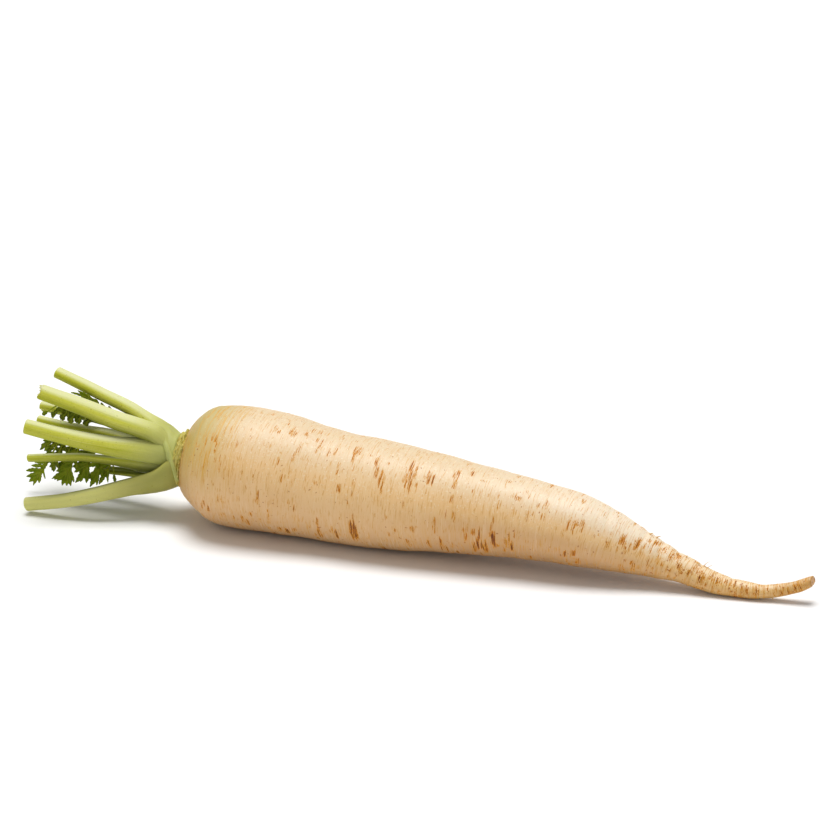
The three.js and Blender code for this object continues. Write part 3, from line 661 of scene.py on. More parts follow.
def taproot(material):
    generator = random.Random(ROOT_SEED)
    first = ROOT_PROFILE[0][0]
    last = ROOT_PROFILE[-1][0]
    x = np.concatenate([
        between(first, DENSE_END, np.linspace(0, 1, SHOULDER_RINGS, endpoint=False) ** 1.6),
        np.linspace(DENSE_END, last, BODY_RINGS),
    ])
    angle = turns(ROOT_SIDES)
    centre, side, up, radius = root_frame(x)
    skin = root_surface(x, angle, radius, generator)
    spot = spot_field(x, angle, radius, generator)
    skin -= SPOT_DEPTH * spot
    across = spokes(side, up, angle)
    points = centre[:, None] + across * skin[..., None]
    points[..., 2] = np.maximum(points[..., 2], 0)

    # The snapped end: its face leans to the side, and is worn round and rough.
    travel = np.cross(side[-1], up[-1])
    travel = travel * np.sign(travel[0])

    def snapped(share):
        """How far back the end is, at a share of the radius out from its middle."""
        to_side = SNAP_SLOPE * (across[-1][:, 1] * share - 1)
        under = SNAP_WEAR * np.clip(-np.sin(angle) * share - 0.35, 0, 1)
        return (to_side - under) * radius[-1]

    follow = smoothstep(x, last - SNAP_REACH, last)[:, None]
    rings = [*(points + travel * (snapped(1) * follow)[..., None])]
    for share, out in SNAP_FACE:
        rough = 1 + 0.05 * np.sin(5 * angle + 9 * share) + 0.04 * np.sin(11 * angle)
        ring = centre[-1] + across[-1] * (skin[-1] * share * rough)[:, None]
        rings.append(ring + travel * (out + snapped(share))[:, None])

    # Each ring's values, carried on over the face.
    face = len(SNAP_FACE)
    run = np.concatenate([[0], np.cumsum(np.hypot(np.diff(x), np.diff(radius)))])
    shares = np.array([1.0] * len(x) + [share for share, _ in SNAP_FACE])
    shell = Shell("run", "spot", "tail", "up", "cut")
    shell.add_loft(
        rings,
        run=np.pad(run, (0, face), mode="edge")[:, None],
        spot=np.pad(spot, ((0, face), (0, 0))),
        tail=smoothstep(np.pad(x, (0, face), mode="edge"), 95, 150)[:, None],
        up=np.where(shares[:, None] < 1, 0.3, np.sin(angle)),
        cut=smoothstep(shares, 1.0, 0.7)[:, None],
    )
    add_rootlets(shell, generator)
    return shell.make("root_skin", material)


# Crown
# -----
CROWN_AXIS = unit([-0.979, -0.166, 0.117])
CROWN_START = np.array([-72.8, 0, 23.5])
CROWN_END = np.array([-76.9, -0.5, 23.0])
CROWN_SEED = 11
CROWN_SIDES = 220
CROWN_RINGS = 46
COLLAR_STRANDS = 230
EDGE_FIBRES = 160
TATTERS = 46
TOP_TATTERS = 30

# share of the way from the shoulder to the stalks, radius
CROWN_PROFILE = [
    (0.08, 10.4), (0.16, 10.9), (0.28, 10.4), (0.42, 10.7), (0.56, 10.2), (0.7, 10.4),
    (0.82, 10.0), (0.91, 9.6),
]

# The strap over the collar: angle in degrees (0 is -Y, 90 is up), share of the way, lift
STRAP_PATH = [
    (66, 2.1, 1.9), (52, 1.75, 1.2), (38, 1.42, 0.75), (23, 1.06, 0.45), (7, 0.74, 0.35),
    (-8, 0.46, 0.4), (-24, 0.26, 0.3), (-40, 0.06, 0.0),
]
STRAP_GIRTH = [0.4, 0.7, 0.78, 0.7, 0.6, 0.5, 0.4, 0.2]


def crown(material):
    generator = random.Random(CROWN_SEED)
    radius = through(*zip(*CROWN_PROFILE))
    across, up = cross_axes(CROWN_AXIS, UP)
    flow = np.linspace(0.0, 1.0, CROWN_RINGS)[:, None]
    angle = turns(CROWN_SIDES)
    ridges = 0.16 * np.sin(13 * angle + 12 * flow) + 0.12 * np.sin(31 * angle - 22 * flow)
    ridges += 0.12 * np.sin(57 * angle + 9 * np.sin(3 * angle) + 30 * flow)
    wave = 0.12 * np.sin(5 * angle + 7 * flow) + 0.08 * np.sin(9 * angle - 11 * flow)
    centre = between(CROWN_START, CROWN_END, flow)[:, None]
    points = centre + spokes(across, up, angle) * (radius(flow) + ridges)[..., None]
    low = 0.5 - 0.5 * np.sin(angle)
    shell = Shell("deep", "strand", "brown", "sheath")
    shell.add_loft(
        points + CROWN_AXIS * wave[..., None],
        # deep is painted shade, in the folds between the ridges.
        deep=0.6 * np.clip(-ridges / 0.3, 0, 1),
        brown=np.clip(1 - flow / 0.22, 0, 1) * (0.35 + 0.65 * low),
    )

    def on_collar(turn, along, lift):
        """Points over the collar at angles, shares of the way and heights above it."""
        middle = between(CROWN_START, CROWN_END, along[:, None])
        return middle + spokes(across, up, turn) * (radius(along) + lift)[:, None]

    # Strands that run round the collar.
    t = np.array([0, 0.33, 0.66, 1])
    for _ in range(COLLAR_STRANDS):
        turn = generator.uniform(0, 2 * math.pi)
        sweep = generator.uniform(0.2, 0.8)
        start = generator.uniform(0.05, 1.0)
        slant = generator.uniform(-0.3, 0.3)
        lift = generator.uniform(-0.02, 0.22)
        strand = on_collar(turn + sweep * t, start + slant * t, lift * np.sin(np.pi * t))
        tone = generator.uniform(0, 1)
        add_fibre(shell, strand, [0.06, 0.24, 0.24, 0.05], strand=tone, deep=0.3)

    # The strap that comes down from the top sheath: three threads side by side.
    degrees, along, lift = np.array(STRAP_PATH).T
    for aside in (-0.5, 0, 0.5):
        strap = on_collar(np.radians(degrees), along + 0.2 * aside, lift - 0.6 * aside**2)
        add_fibre(shell, strap, STRAP_GIRTH, sides=14, sheath=1)

    # The rough edge against the shoulder.
    t = np.array([0, 0.5, 1])
    for _ in range(EDGE_FIBRES):
        turn = generator.uniform(0, 2 * math.pi)
        sweep = generator.uniform(0.05, 0.22)
        along = np.array([generator.uniform(-0.02, 0.16) for _ in t])
        edge = on_collar(turn + sweep * t, along, 0.25)
        tone = generator.uniform(0, 0.8)
        add_fibre(shell, edge, [0.1, 0.34, 0.1], strand=tone, brown=generator.uniform(0, 0.7))

    # Papery tatters, most of them on top by the shoulder.
    for number in range(TATTERS):
        on_top = number < TOP_TATTERS
        turn = math.pi / 2 + generator.gauss(0.1, 0.3 if on_top else 1.6)
        start = generator.uniform(0.0, 0.45)
        tall = generator.uniform(0.4, 1.0) * (1.7 if on_top else 0.7)
        lean = generator.uniform(-0.5, 0.5)
        tatter = on_collar(turn + 0.04 * lean * t, start + 0.25 * lean * t, tall * t - 0.2)
        add_fibre(shell, tatter, [0.3, 0.24, 0.06], strand=generator.uniform(0.3, 1), brown=0.1)
    return shell.make("crown_collar", material)


# Stalks
# ------
STALK_SIDES = 56
STALK_RIBS = 19
BASE_STATIONS = 44  # close together, up to BASE_END along the stalk
BASE_END = 14
LENGTH_STATIONS = 90
SHEATH_RADIUS = 9.0
SHEATH_END = 13
TURN_START = 3
HEEL_RADIUS = 10.2
FLATTEST_WRAP = 1e-4
CHANNEL_DEPTH = 0.35
ROOT_SINK = 0.5  # how far a base without a heel reaches into the crown
END_BEVEL = 0.35
FACE_SHARES = (0.82, 0.6, 0.38, 0.16)  # sizes of the cut face's rings
TORN_FIBRES = 34

# The clock angle a stalk's back faces, in degrees (0 is up, 90 is -Y), at its base and past its
# sheath; how dark the painted shade on its underside is; its path from base to cut end; and
# distance along it, half-width, half-thickness.
# A heel carries the base on over the crown. Folds are how high the sheath's wrinkles stand.
STALKS = {
    "stalk_top": {
        "faces": (0, -6), "shaded": 0.9, "folds": 0.32,
        "path": [
            (-75.8, -0.4, 32.0), (-79.2, 0.2, 33.3), (-82.6, 0.7, 34.5), (-88.6, 1.5, 36.4),
            (-97.5, 2.5, 40.1), (-108.8, 3.0, 43.8), (-119.2, 3.5, 47.3), (-129.4, 4.0, 50.5),
        ],
        "girth": [
            (0, 14.2, 1.1), (1.6, 13.2, 1.2), (2.8, 11.0, 1.4), (4.3, 8.0, 1.7), (7, 5.2, 2.2),
            (10, 4.1, 2.7), (14, 3.5, 2.9), (30, 3.1, 2.8), (60, 2.8, 2.5),
        ],
    },
    "stalk_bottom": {
        "faces": (140, 114), "shaded": 0.15, "tan": 0.55,
        "heel": [(-4.4, 3.0, 0.2), (-3.6, 6.2, 0.7), (-2.4, 9.0, 1.6), (-1.0, 11.4, 2.5)],
        "path": [
            (-76.7, -6.3, 16.0), (-79.8, -6.9, 15.3), (-82.6, -7.8, 14.9), (-85.6, -9.0, 14.6),
            (-89.8, -10.8, 13.9), (-96.1, -13.6, 12.5), (-103.9, -16.8, 10.5), (-116, -19.4, 7.4),
            (-132.9, -20.6, 3.7),
        ],
        "girth": [
            (0, 12.2, 3.1), (2.5, 10.9, 3.5), (5.5, 8.4, 3.35), (9, 6.0, 2.9), (14, 4.5, 2.8),
            (22, 3.8, 2.8), (38, 3.2, 2.8), (60, 2.9, 2.7),
        ],
    },
    "stalk_front": {
        "faces": (78, 58), "shaded": 0.3,
        "path": [
            (-76.3, -5.2, 25.4), (-81.2, -6.2, 27.5), (-85.1, -7.2, 27.9), (-88.7, -8.4, 28.3),
            (-98.9, -12, 29.7), (-109.3, -15, 31.6), (-120, -17.5, 33.9), (-132, -20, 36.6),
        ],
        "girth": [
            (0, 4.3, 2.6), (5, 5.1, 3.2), (12, 4.9, 3.5), (22, 4.1, 3.4), (40, 3.3, 3.0),
            (60, 2.9, 2.7),
        ],
    },
    "stalk_upper": {
        "faces": (26, 22), "shaded": 0.75, "ragged": 0.6,
        "path": [
            (-76.1, -3.2, 29.0), (-80.4, -3.7, 31.9), (-84.4, -4.4, 34.1), (-89.5, -5.8, 36.1),
            (-98.2, -8, 38.9), (-111.2, -10, 43.4), (-128.6, -12, 48.4),
        ],
        "girth": [
            (0, 3.0, 2.4), (5, 3.8, 3.0), (9, 4.3, 3.5), (20, 4.2, 3.4), (38, 3.7, 3.1),
            (60, 3.3, 2.9),
        ],
    },
    "stalk_lower": {
        "faces": (128, 118), "shaded": 0.7,
        "path": [
            (-77.0, -3.6, 19.6), (-83, -4.2, 19.8), (-89.6, -4.6, 20.0), (-96, -4.9, 20.4),
            (-103.6, -5.3, 20.6), (-113.1, -6.0, 20.6), (-122.7, -7.0, 19.7), (-137.5, -8.5, 17.9),
        ],
        "girth": [(0, 2.6, 1.9), (6, 3.6, 2.6), (14, 3.2, 2.4), (25, 2.1, 1.9), (60, 1.7, 1.6)],
    },
    "stalk_far": {
        "faces": (-66, -40), "shaded": 0.8,
        "path": [
            (-77.9, 4.9, 25.2), (-84, 5.6, 26.9), (-95, 6.4, 29.6), (-108.3, 6.6, 31.3),
            (-121.6, 7.0, 32.6), (-138.5, 7.0, 33.8),
        ],
        "girth": [(0, 2.7, 2.0), (8, 3.3, 2.7), (20, 2.9, 2.6), (60, 2.5, 2.3)],
    },
    "stalk_behind": {
        "faces": (-140, -150), "shaded": 0.6,
        "path": [
            (-78.5, 3.4, 18.3), (-85, 3.7, 15.0), (-95.0, 4.3, 12.5), (-104.1, 5.0, 11.6),
            (-115.2, 5.5, 11.0),
        ],
        "girth": [(0, 2.2, 1.8), (10, 2.3, 2.0), (28, 1.8, 1.6), (40, 1.6, 1.4)],
    },
    "stalk_inner": {
        "faces": (-8, -8), "shaded": 0.8,
        "path": [
            (-77.3, 0.4, 23.6), (-88.6, 0.8, 25.6), (-98.5, 1.0, 27.4), (-107.7, 1.2, 28.4),
            (-117.4, 1.5, 29.0), (-126.8, 1.7, 29.4), (-137.5, 1.8, 30.4),
        ],
        "girth": [(0, 1.9, 1.6), (14, 2.9, 2.7), (30, 2.7, 2.5), (39, 2.1, 1.9), (60, 1.9, 1.7)],
    },
}


def stalk_section(angle, half_width, half_thickness, wrap, ribs):
    """Across and out from the path: a rounded back, and a channel down the inner side, all of
    it wrapped round a circle of radius 1 / wrap."""
    u = half_width * np.cos(angle)
    v = half_thickness * np.sin(angle)
    channel = CHANNEL_DEPTH * half_thickness * bell(np.cos(angle), 0.4)
    v = np.where(v < 0, 0.85 * v + channel, v)
    u = u * (1 + ribs)
    v = v * (1 + ribs)
    flat = wrap < FLATTEST_WRAP
    radius = 1 / np.where(flat, 1, wrap)
    wrapped = np.sin(wrap * u) * (radius + v), np.cos(wrap * u) * (radius + v) - radius
    return np.where(flat, (u, v), wrapped)


def stalk_stations(length, heel):
    """Down the side, round the edge of the cut, then in across its face: columns of distance
    along the stalk, how far in the edge is rounded, share of the section's size, and 1 on the
    face."""
    side = [
        *[row[0] for row in heel],
        *np.linspace(0, BASE_END, BASE_STATIONS, endpoint=False),
        *np.linspace(BASE_END, length - END_BEVEL, LENGTH_STATIONS),
    ]
    rows = [
        *[(s, 0.0, 1.0, 0.0) for s in side],
        (length - 0.5 * END_BEVEL, 0.12, 1.0, 0.3),
        (length, END_BEVEL, 1.0, 0.8),
        *[(length - 0.25 * (1 - share), END_BEVEL, share, 1.0) for share in FACE_SHARES],
    ]
    return np.array(rows).T[..., None]


def add_torn_fibres(shell, rim, travel, generator):
    """Threads that stand out from the rim of a torn end."""
    for _ in range(TORN_FIBRES):
        start = rim[generator.randrange(STALK_SIDES)]
        way = travel * generator.uniform(0.2, 0.7)
        way = way + np.array([0, generator.uniform(-0.3, 0.3), generator.uniform(-0.4, 0.3)])
        points = [start - travel * 0.8, start, start + way * 0.6, start + way]
        add_fibre(shell, points, [0.22, 0.2, 0.14, 0.04], along=50, tan=0.8, up=0.4)


def stalk(name, spec, material):
    generator = random.Random(name)
    phase = generator.uniform(0, 6)
    path = Path(spec["path"])
    heel = spec.get("heel", [])
    s, bevel, share, on_face = stalk_stations(path.length, heel)
    angle = turns(STALK_SIDES)

    # The path, and the directions across and out from it. A heel lies behind its start.
    past = smoothstep(s, 1, SHEATH_END)
    faces = np.radians(between(*spec["faces"], past))
    back = np.concatenate([0 * faces, -np.sin(faces), np.cos(faces)], axis=-1)
    ahead = np.maximum(s[:, 0], 0)
    turned = smoothstep(s, TURN_START, SHEATH_END)
    travel = unit(between(CROWN_AXIS, path.direction(ahead), turned))
    across, out = cross_axes(travel, back)
    behind = np.minimum(s, 0)
    if not heel:
        behind[0] = -ROOT_SINK
    centre = path.point(ahead) + CROWN_AXIS * behind

    def beside(u, v):
        return across[:, None] * u[..., None] + out[:, None] * v[..., None]

    wide, thick = (curve(s) for curve in columns_of(spec["girth"]))
    for row, (_, *girth) in enumerate(heel):
        wide[row], thick[row] = girth
    rib = np.cos(STALK_RIBS * angle + 0.4 * np.sin(s / 9 + phase))
    ribs = 0.012 * rib * (0.6 + 0.4 * np.sin(2 * angle + phase)) * smoothstep(s, 2, 12)
    ribs = ribs + 0.012 * np.sin(s / 6.5 + phase) + 0.006 * np.sin(s / 2.7 + 2 * phase)
    wrap = np.where(s < 0, 1 / HEEL_RADIUS, (1 - past) / SHEATH_RADIUS)
    u, v = stalk_section(angle, wide - bevel, thick - bevel, wrap, ribs) * share
    crest = np.sin(angle) * np.cos(9 * angle + 0.5 * np.sin(s)) * smoothstep(s, 9, 3)
    v += spec.get("folds", 0) * crest * (np.sin(angle) > 0)
    points = centre[:, None] + beside(u, v)

    # Painted shade: darker where it faces the middle of the bunch, and underneath.
    normal = unit(beside(np.cos(angle) / wide, np.sin(angle) / thick))
    toward = unit(CROWN_END + CROWN_AXIS * s[..., None] - points)
    facing = np.clip(1.4 * np.sum(normal * toward, axis=-1), 0, 1)
    below = spec["shaded"] * np.clip((0.3 - normal[..., 2]) / 0.7, 0, 1)
    inner = np.maximum(facing, below) * (1 - smoothstep(s, 20, 75))

    # The end is torn where the stalk is ragged.
    torn = 0.5 * np.sin(3 * angle + phase) + 0.5 * np.sin(11 * angle) * np.sin(7 * angle + 1)
    torn = torn * spec.get("ragged", 0) * smoothstep(s, path.length - 2.5, path.length) * share
    points += travel[:, None] * torn[..., None]

    shell = Shell("along", "turn", "rib", "up", "inner", "cut", "face", "tan")
    shell.add_loft(
        points,
        along=s,
        turn=np.sin(angle),
        rib=np.cos(angle),
        up=normal[..., 2],
        inner=inner,
        cut=share,
        face=on_face,
        tan=spec.get("tan", 0),
    )
    if "ragged" in spec:
        rim = points[-1 - len(FACE_SHARES)]
        add_torn_fibres(shell, rim, travel[-1], generator)
    return shell.make(name + "_flesh", material)


# Leaves
# ------
BLADE_STEP = 0.27  # grid that a blade is cut from
BLADE_HALF_THICKNESS = 0.14
BLADE_FOLD = 0.18
BLADE_CURL = 0.06
FINGER_FOLD = 0.45  # how far a finger's margins rise above its own midrib
TOOTH_SPACING = 1.5
FAR_OUTSIDE = -9.0  # the depth inside a blade, where there is none
MIDRIB_END = 0.86  # share of the leaflet's length
RACHIS_RINGS = 60
RACHIS_SIDES = 20

# share of a finger's length, share of its half-width
FINGER_SHAPE = [(0, 0.7), (0.45, 1), (0.8, 0.66), (1, 0)]

# Fingers in pairs: the share of the leaflet's length where the last pair grows; then, for the
# first pair and the last, their angle in degrees and their share of the leaflet's length
LAST_PAIR = 0.72
FINGER_ANGLES = (48, 22)
FINGER_LENGTHS = (0.34, 0.24)
Pairs = namedtuple("Pairs", "count half_width seed")

# Rachis points with its half-thickness. Leaflets as where they grow, their tip, the blade's
# start and half-width, and its fingers: share of the length, degrees, length, half-width.
# The fingers of a plain leaflet come in pairs of one half-width.
LEAVES = {
    "leaf_lower": {
        "rachis": [
            (-77.9, 1.2, 20.2, 1.1), (-84, 1.8, 20.0, 1.1), (-89.4, 2.0, 20.0, 1.1),
            (-97.8, 1.9, 20.2, 1.0), (-104.0, 1.8, 20.3, 0.95), (-112.2, 1.8, 21.0, 0.85),
            (-119.5, 1.6, 21.7, 0.75), (-125.4, 1.2, 22.8, 0.65), (-130.4, 0.8, 23.7, 0.5),
        ],
        "leaflets": [
            (0.95, (-139.4, -1.0, 2.8), (0.46, 0.85), [
                (0.1, -42, 4.6, 0.9), (0.28, -36, 4.8, 0.8), (0.3, 34, 4.0, 0.8),
                (0.5, -60, 5.2, 0.45), (0.57, -60, 5.6, 0.75), (0.66, -56, 6.8, 0.85),
                (0.7, -40, 6.6, 0.9), (0.75, -24, 5.6, 0.9), (0.72, 24, 4.2, 0.75),
                (0.62, 44, 4.6, 0.35),
            ]),
            (0.79, (-126.5, -1.0, 4.6), (0.5, 1.15), [
                (0.1, -40, 5.0, 0.9), (0.12, 40, 4.4, 0.8), (0.28, -40, 5.6, 0.9),
                (0.3, 36, 4.4, 0.8), (0.4, -40, 5.8, 0.8), (0.54, -50, 6.2, 0.95),
                (0.58, -35, 8.6, 0.85), (0.62, -32, 7.3, 0.8), (0.66, -26, 6.1, 0.8),
                (0.62, 17, 6.4, 1.05), (0.6, 33, 6.6, 0.9), (0.58, 47, 5.7, 0.75),
            ]),
            (0.655, (-121.0, -0.5, 6.4), (0.36, 1.3), [
                (0.1, -40, 4.6, 0.9), (0.14, 38, 4.0, 0.8), (0.38, -38, 5.2, 0.9),
                (0.5, -28, 5.6, 0.9), (0.46, 33, 7.4, 1.15), (0.58, 18, 5.6, 1.05),
            ]),
            (0.565, (-114.9, 0.2, 5.2), (0.3, 1.25), [
                (0.12, -40, 4.4, 0.9), (0.28, -43, 6.6, 1.1), (0.5, -23, 6.7, 1.0),
                (0.5, 21, 6.6, 0.8), (0.36, 30, 5.0, 0.9), (0.6, 10, 5.0, 0.7),
            ]),
            (0.49, (-111.2, 0.7, 6.6), (0.5, 0.9), [
                (0.14, -42, 5.0, 1.0), (0.28, -30, 6.2, 1.0), (0.46, 29, 6.1, 0.55),
            ]),
            (0.53, (-104.3, 1.0, 8.5), (0.76, 0.7), []),
            (1.0, (-136.5, 0.2, 18.0), (0.15, 0.9), [
                (0.2, -38, 3.9, 0.7), (0.42, -24, 3.4, 0.6), (0.42, 22, 3.9, 0.75),
            ]),
            (0.97, (-133.5, 0.4, 17.1), (0.15, 0.95), Pairs(2, 0.7, 2)),
            (0.92, (-131.6, 0.4, 9.9), (0.6, 0.6), Pairs(2, 0.7, 3)),
            (0.9, (-130.9, 1.4, 15.4), (0.15, 0.95), Pairs(3, 0.8, 4)),
            (0.85, (-128.8, 1.7, 10.3), (0.15, 1.0), Pairs(3, 0.9, 5)),
            (0.82, (-125.9, 1.9, 15.9), (0.15, 0.95), Pairs(3, 0.8, 6)),
            (0.71, (-122.1, 1.9, 11.3), (0.15, 1.0), Pairs(3, 0.9, 7)),
            (0.68, (-118.0, 1.9, 16.6), (0.15, 0.9), Pairs(3, 0.7, 8)),
        ],
    },
    "leaf_upper": {
        "rachis": [
            (-77.1, 1.6, 27.4, 1.1), (-84, 1.5, 28.3, 1.1), (-92.9, 1.2, 31.7, 1.05),
            (-101.3, 1.2, 35.4, 0.95), (-107.2, 1.0, 37.9, 0.85), (-111.8, 0.8, 39.3, 0.75),
            (-117.2, 0.4, 40.5, 0.65), (-122.2, 0.0, 40.7, 0.55), (-125.4, -0.5, 40.3, 0.5),
        ],
        "leaflets": [
            (1.0, (-133.8, -1.5, 34.4), (0.78, 0.85), []),
            (0.97, (-129.6, -2.2, 34.2), (0.2, 0.8), Pairs(2, 0.7, 21)),
            (0.89, (-125.9, -1.8, 33.2), (0.15, 1.0), Pairs(3, 0.9, 22)),
            (0.83, (-122.4, -1.5, 32.2), (0.15, 1.1), Pairs(3, 1.0, 23)),
            (0.77, (-119.3, -1.2, 32.4), (0.15, 1.1), Pairs(3, 1.0, 24)),
            (0.7, (-115.8, -1.0, 32.0), (0.15, 1.0), Pairs(3, 0.95, 25)),
            (0.53, (-118.2, 0.0, 46.6), (0.5, 0.95), [
                (0.15, -42, 3.8, 0.7), (0.3, -26, 3.6, 0.7), (0.48, -28, 2.9, 0.65),
                (0.66, -26, 2.4, 0.6), (0.62, 15, 9.8, 0.5), (0.72, 30, 3.2, 0.7),
            ]),
            (0.92, (-127.2, -1.8, 36.6), (0.15, 0.9), Pairs(2, 0.9, 26)),
        ],
    },
}


def seeded(seed):
    """Repeatable numbers from 0 to 1, the same for a seed as in the solid model."""
    state = (seed * 2654435761) & 0xFFFFFFFF
    while True:
        state = ((state ^ (state >> 15)) * 2246822519 + 3266489917) & 0xFFFFFFFF
        yield state / 2**32


def paired_fingers(pairs, start, length):
    """The fingers of a plain leaflet, in pairs up its midrib."""
    chance = seeded(pairs.seed)
    fingers = []
    for i in range(pairs.count):
        share = i / (pairs.count - 1)
        for side in (1, -1):
            at = between(start, LAST_PAIR, share) + 0.05 * next(chance)
            degrees = between(*FINGER_ANGLES, share) + 12 * (next(chance) - 0.5)
            long = length * between(*FINGER_LENGTHS, share) * (0.85 + 0.3 * next(chance))
            fingers.append((at, side * degrees, long, pairs.half_width))
    return fingers


def blade_field(fingers, a, w, generator):
    """How far inside the blade each point is (below 0 outside), and how near a midrib."""
    inside = np.full(a.shape, FAR_OUTSIDE)
    vein = np.zeros(a.shape)
    width_share = through(*zip(*FINGER_SHAPE))
    for start, degrees, length, half_width in fingers:
        turn = math.radians(degrees)
        u = (a - start) * math.cos(turn) + w * math.sin(turn)
        v = w * math.cos(turn) - (a - start) * math.sin(turn)
        share = u / length
        along = np.clip(share, 0, 1)
        v = v - 0.05 * length * generator.uniform(-1, 1) * np.sin(np.pi * along)
        teeth = 0.82 + 0.4 * np.mod(u / TOOTH_SPACING + generator.random() + (v > 0) * 0.5, 1)
        edge = half_width * width_share(along) * teeth - np.abs(v)
        edge = np.where(share < 0, 0.6 * half_width - np.hypot(u, v), edge)
        edge = np.where(share > 1, FAR_OUTSIDE, edge)
        inside = np.maximum(inside, edge)
        on_rib = bell(v, 0.2) * (share > 0) * (share < 0.92)
        vein = np.maximum(vein, on_rib * (1 - 0.6 * along))
    return inside, vein


def cut_plate(inside, a, w):
    """Flat polygons of the grid's part where inside is above 0: points as places on the grid,
    and faces."""
    numbers = {}
    places = []

    def numbered(key, place):
        """The number of the point with that key, which is added when it first comes up."""
        if key not in numbers:
            numbers[key] = len(places)
            places.append(place)
        return numbers[key]

    def crossing(one, two):
        t = min(max(inside[one] / (inside[one] - inside[two]), 0.02), 0.98)
        key = (min(one, two), max(one, two))
        return numbered(key, (between(a[one], a[two], t), between(w[one], w[two], t)))

    faces = []
    for i in range(inside.shape[0] - 1):
        for j in range(inside.shape[1] - 1):
            loop = [(i, j), (i + 1, j), (i + 1, j + 1), (i, j + 1)]
            face = []
            for here, after in zip(loop, loop[1:] + loop[:1]):
                if inside[here] > 0:
                    face.append(numbered(here, (a[here], w[here])))
                if (inside[here] > 0) != (inside[after] > 0):
                    face.append(crossing(here, after))
            if face:
                faces.append(face)
    return np.array(places), faces


def add_leaflet(shell, base, leaflet, generator, shade):
    """A leaflet's blade, cut from a grid, folded along each midrib, and its stem."""
    _, tip, (start, half_width), fingers = leaflet
    length = float(np.linalg.norm(tip - base))
    along = (tip - base) / length
    across, normal = cross_axes(along, np.array([0, -1.0, 0]))
    if isinstance(fingers, Pairs):
        fingers = paired_fingers(fingers, start, length)
    shaped = [(share * length, *rest) for share, *rest in fingers]
    shaped.append((start * length, 0, (1 - start) * length, half_width))
    reach = max([half_width] + [long for _, _, long, _ in fingers]) + 1
    lengthwise = np.arange(-1, length + 1.5, BLADE_STEP)
    crosswise = np.arange(-reach, reach, BLADE_STEP)
    a, w = np.meshgrid(lengthwise, crosswise, indexing="ij")
    inside, vein = blade_field(shaped, a, w, generator)
    places, faces = cut_plate(inside, a, w)
    pa, pw = places.T

    def at_places(grid):
        """The grid's values at the places, which lie between its points."""
        i = np.clip(((pa + 1) / BLADE_STEP).astype(int), 0, a.shape[0] - 2)
        j = np.clip(((pw + reach) / BLADE_STEP).astype(int), 0, a.shape[1] - 2)
        ahead = (pa - a[i, j]) / BLADE_STEP
        low = between(grid[i, j], grid[i + 1, j], ahead)
        high = between(grid[i, j + 1], grid[i + 1, j + 1], ahead)
        return between(low, high, (pw - w[i, j]) / BLADE_STEP)

    ribs = at_places(vein)
    phase = generator.uniform(0, 6)
    lift = BLADE_FOLD * np.abs(pw) + BLADE_CURL * pa**2 / length
    lift += 0.14 * np.sin(1.4 * pa + phase) * np.sin(1.1 * pw + phase) - 0.06 * ribs
    lift -= FINGER_FOLD * np.clip(at_places(inside), 0, 2)
    middle = base + pa[:, None] * along + pw[:, None] * across + lift[:, None] * normal
    thick = normal * BLADE_HALF_THICKNESS
    count = len(middle)
    back = [[v + count for v in reversed(face)] for face in faces]
    edges = {edge for face in faces for edge in zip(face, face[1:] + face[:1])}
    rim = sorted((v, after) for v, after in edges if (after, v) not in edges)
    sides = [[after, v, v + count, after + count] for v, after in rim]
    points = np.concatenate([middle + thick, middle - thick])
    shell.add(points, faces + back + sides, vein=np.tile(ribs, 2), shade=shade)

    # The stem, which runs on as the midrib.
    s = np.linspace(0, MIDRIB_END, 9) * length
    lift = BLADE_CURL * s**2 / length - FINGER_FOLD * 0.8 * half_width * (s > start * length)
    stem = base + s[:, None] * along + (lift + 0.08)[:, None] * normal
    add_fibre(shell, stem, [0.42, 0.36, 0.3, 0.22, 0.1], sides=8, stem=0.8, shade=shade)


def leaf(name, spec, material):
    generator = random.Random(name)
    rachis = np.array(spec["rachis"])
    path = Path(rachis[:, :3])
    s = np.linspace(0, path.length, RACHIS_RINGS)
    half = through(path.at, rachis[:, 3])(s)[:, None]
    across, out = cross_axes(path.direction(s), UP)
    angle = turns(RACHIS_SIDES)
    ring = spokes(across, out, angle) * (half * (1 + 0.05 * np.cos(6 * angle)))[..., None]
    shell = Shell("vein", "stem", "shade")
    # The rachis, with a little painted shade.
    shell.add_loft(path.point(s)[:, None] + ring, stem=1.0, shade=0.3)
    for leaflet in spec["leaflets"]:
        at, *_, fingers = leaflet
        base = path.point(min(at * path.length, path.length - 0.4))
        # Painted shade: the plain leaflets, in the dark mass behind the stalks, darker than the
        # fingered ones.
        shades = (0.4, 0.9) if isinstance(fingers, Pairs) else (0.0, 0.35)
        add_leaflet(shell, base, leaflet, generator, generator.uniform(*shades))
    return shell.make(name + "_blades", material)


# Camera and light
# ----------------
CAMERA_AZIMUTH = 19.74
CAMERA_ELEVATION = 22.0
CAMERA_DISTANCE = 1.1
CAMERA_TARGET = (0.0209, 0.0, 0.0556)
CAMERA_SENSOR = 36.0
CAMERA_LENS = 127.66
WORLD_LIGHT = 0.37
KEY_PLACE = (-0.2, 0.36, 3.0)
KEY_SIZE = 1.7
KEY_WATTS = 82
LIGHT_TARGET = (0.02, 0, 0.02)
FLOOR_HALF = 6.0


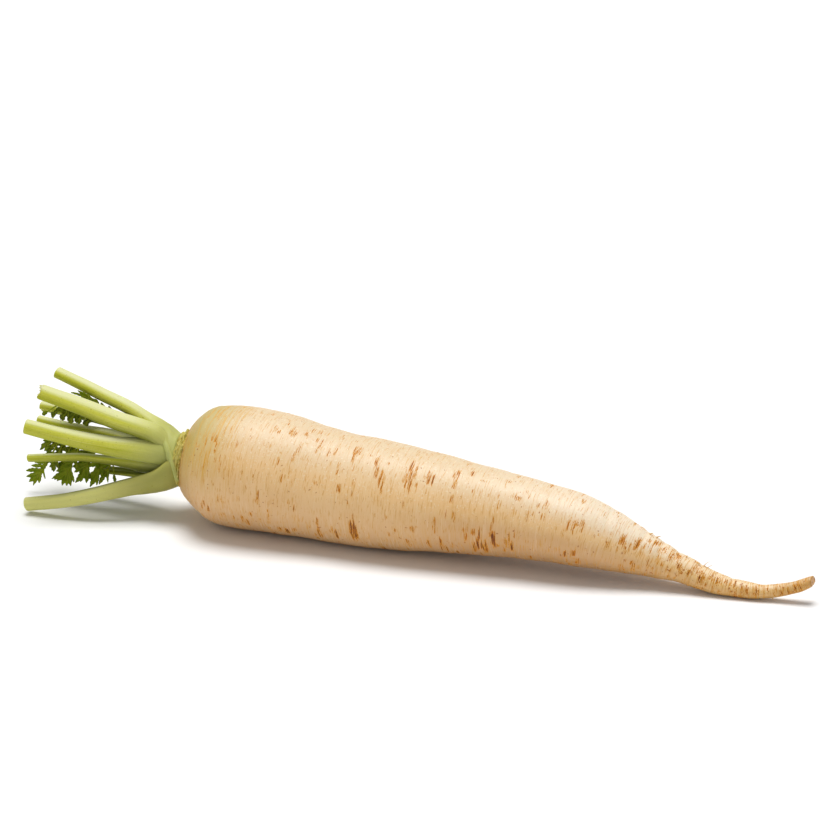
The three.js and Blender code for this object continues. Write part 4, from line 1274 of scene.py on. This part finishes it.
def floor():
    white = Finish(
        "studio_floor", Base_Color=(0.93, 0.93, 0.93, 1), Roughness=0.9, Specular_IOR_Level=0.1
    )
    corners = [(x * FLOOR_HALF, y * FLOOR_HALF, 0) for x, y in ((-1, -1), (1, -1), (1, 1), (-1, 1))]
    mesh = bpy.data.meshes.new("studio_floor")
    mesh.from_pydata(corners, [], [(0, 1, 2, 3)])
    mesh.materials.append(white.material)
    ground = bpy.data.objects.new("studio_floor", mesh)
    bpy.context.scene.collection.objects.link(ground)


def light():
    world = bpy.data.worlds.new("studio")
    world.use_nodes = True
    world.node_tree.nodes["Background"].inputs["Color"].default_value = (1, 1, 1, 1)
    world.node_tree.nodes["Background"].inputs["Strength"].default_value = WORLD_LIGHT
    bpy.context.scene.world = world
    bpy.context.scene.view_settings.view_transform = "Standard"

    key = bpy.data.lights.new("key", "AREA")
    key.shape = "DISK"
    key.size = KEY_SIZE
    key.energy = KEY_WATTS
    lamp = bpy.data.objects.new("key", key)
    lamp.location = KEY_PLACE
    aim = Vector(LIGHT_TARGET) - Vector(KEY_PLACE)
    lamp.rotation_euler = aim.to_track_quat("-Z", "Y").to_euler()
    bpy.context.scene.collection.objects.link(lamp)


def camera():
    azimuth = math.radians(CAMERA_AZIMUTH)
    elevation = math.radians(CAMERA_ELEVATION)
    back = Vector((
        math.sin(azimuth) * math.cos(elevation),
        -math.cos(azimuth) * math.cos(elevation),
        math.sin(elevation),
    ))
    lens = bpy.data.cameras.new("camera")
    lens.sensor_width = CAMERA_SENSOR
    lens.lens = CAMERA_LENS
    lens.clip_start = 0.05
    lens.clip_end = 20
    eye = bpy.data.objects.new("camera", lens)
    eye.location = Vector(CAMERA_TARGET) + back * CAMERA_DISTANCE
    eye.rotation_euler = back.to_track_quat("Z", "Y").to_euler()
    bpy.context.scene.collection.objects.link(eye)
    bpy.context.scene.camera = eye


# Assembly
# --------
def dress(piece, node):
    """The piece rides on the root body and stands for its node."""
    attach(piece, "root")
    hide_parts(node)


def main():
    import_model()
    camera()
    floor()
    light()

    dress(taproot(skin_finish()), "taproot")
    dress(crown(crown_finish()), "crown")
    flesh = stalk_finish()
    for name, spec in STALKS.items():
        dress(stalk(name, spec, flesh), name)
    blades = leaf_finish()
    for name, spec in LEAVES.items():
        dress(leaf(name, spec, blades), name)


main()
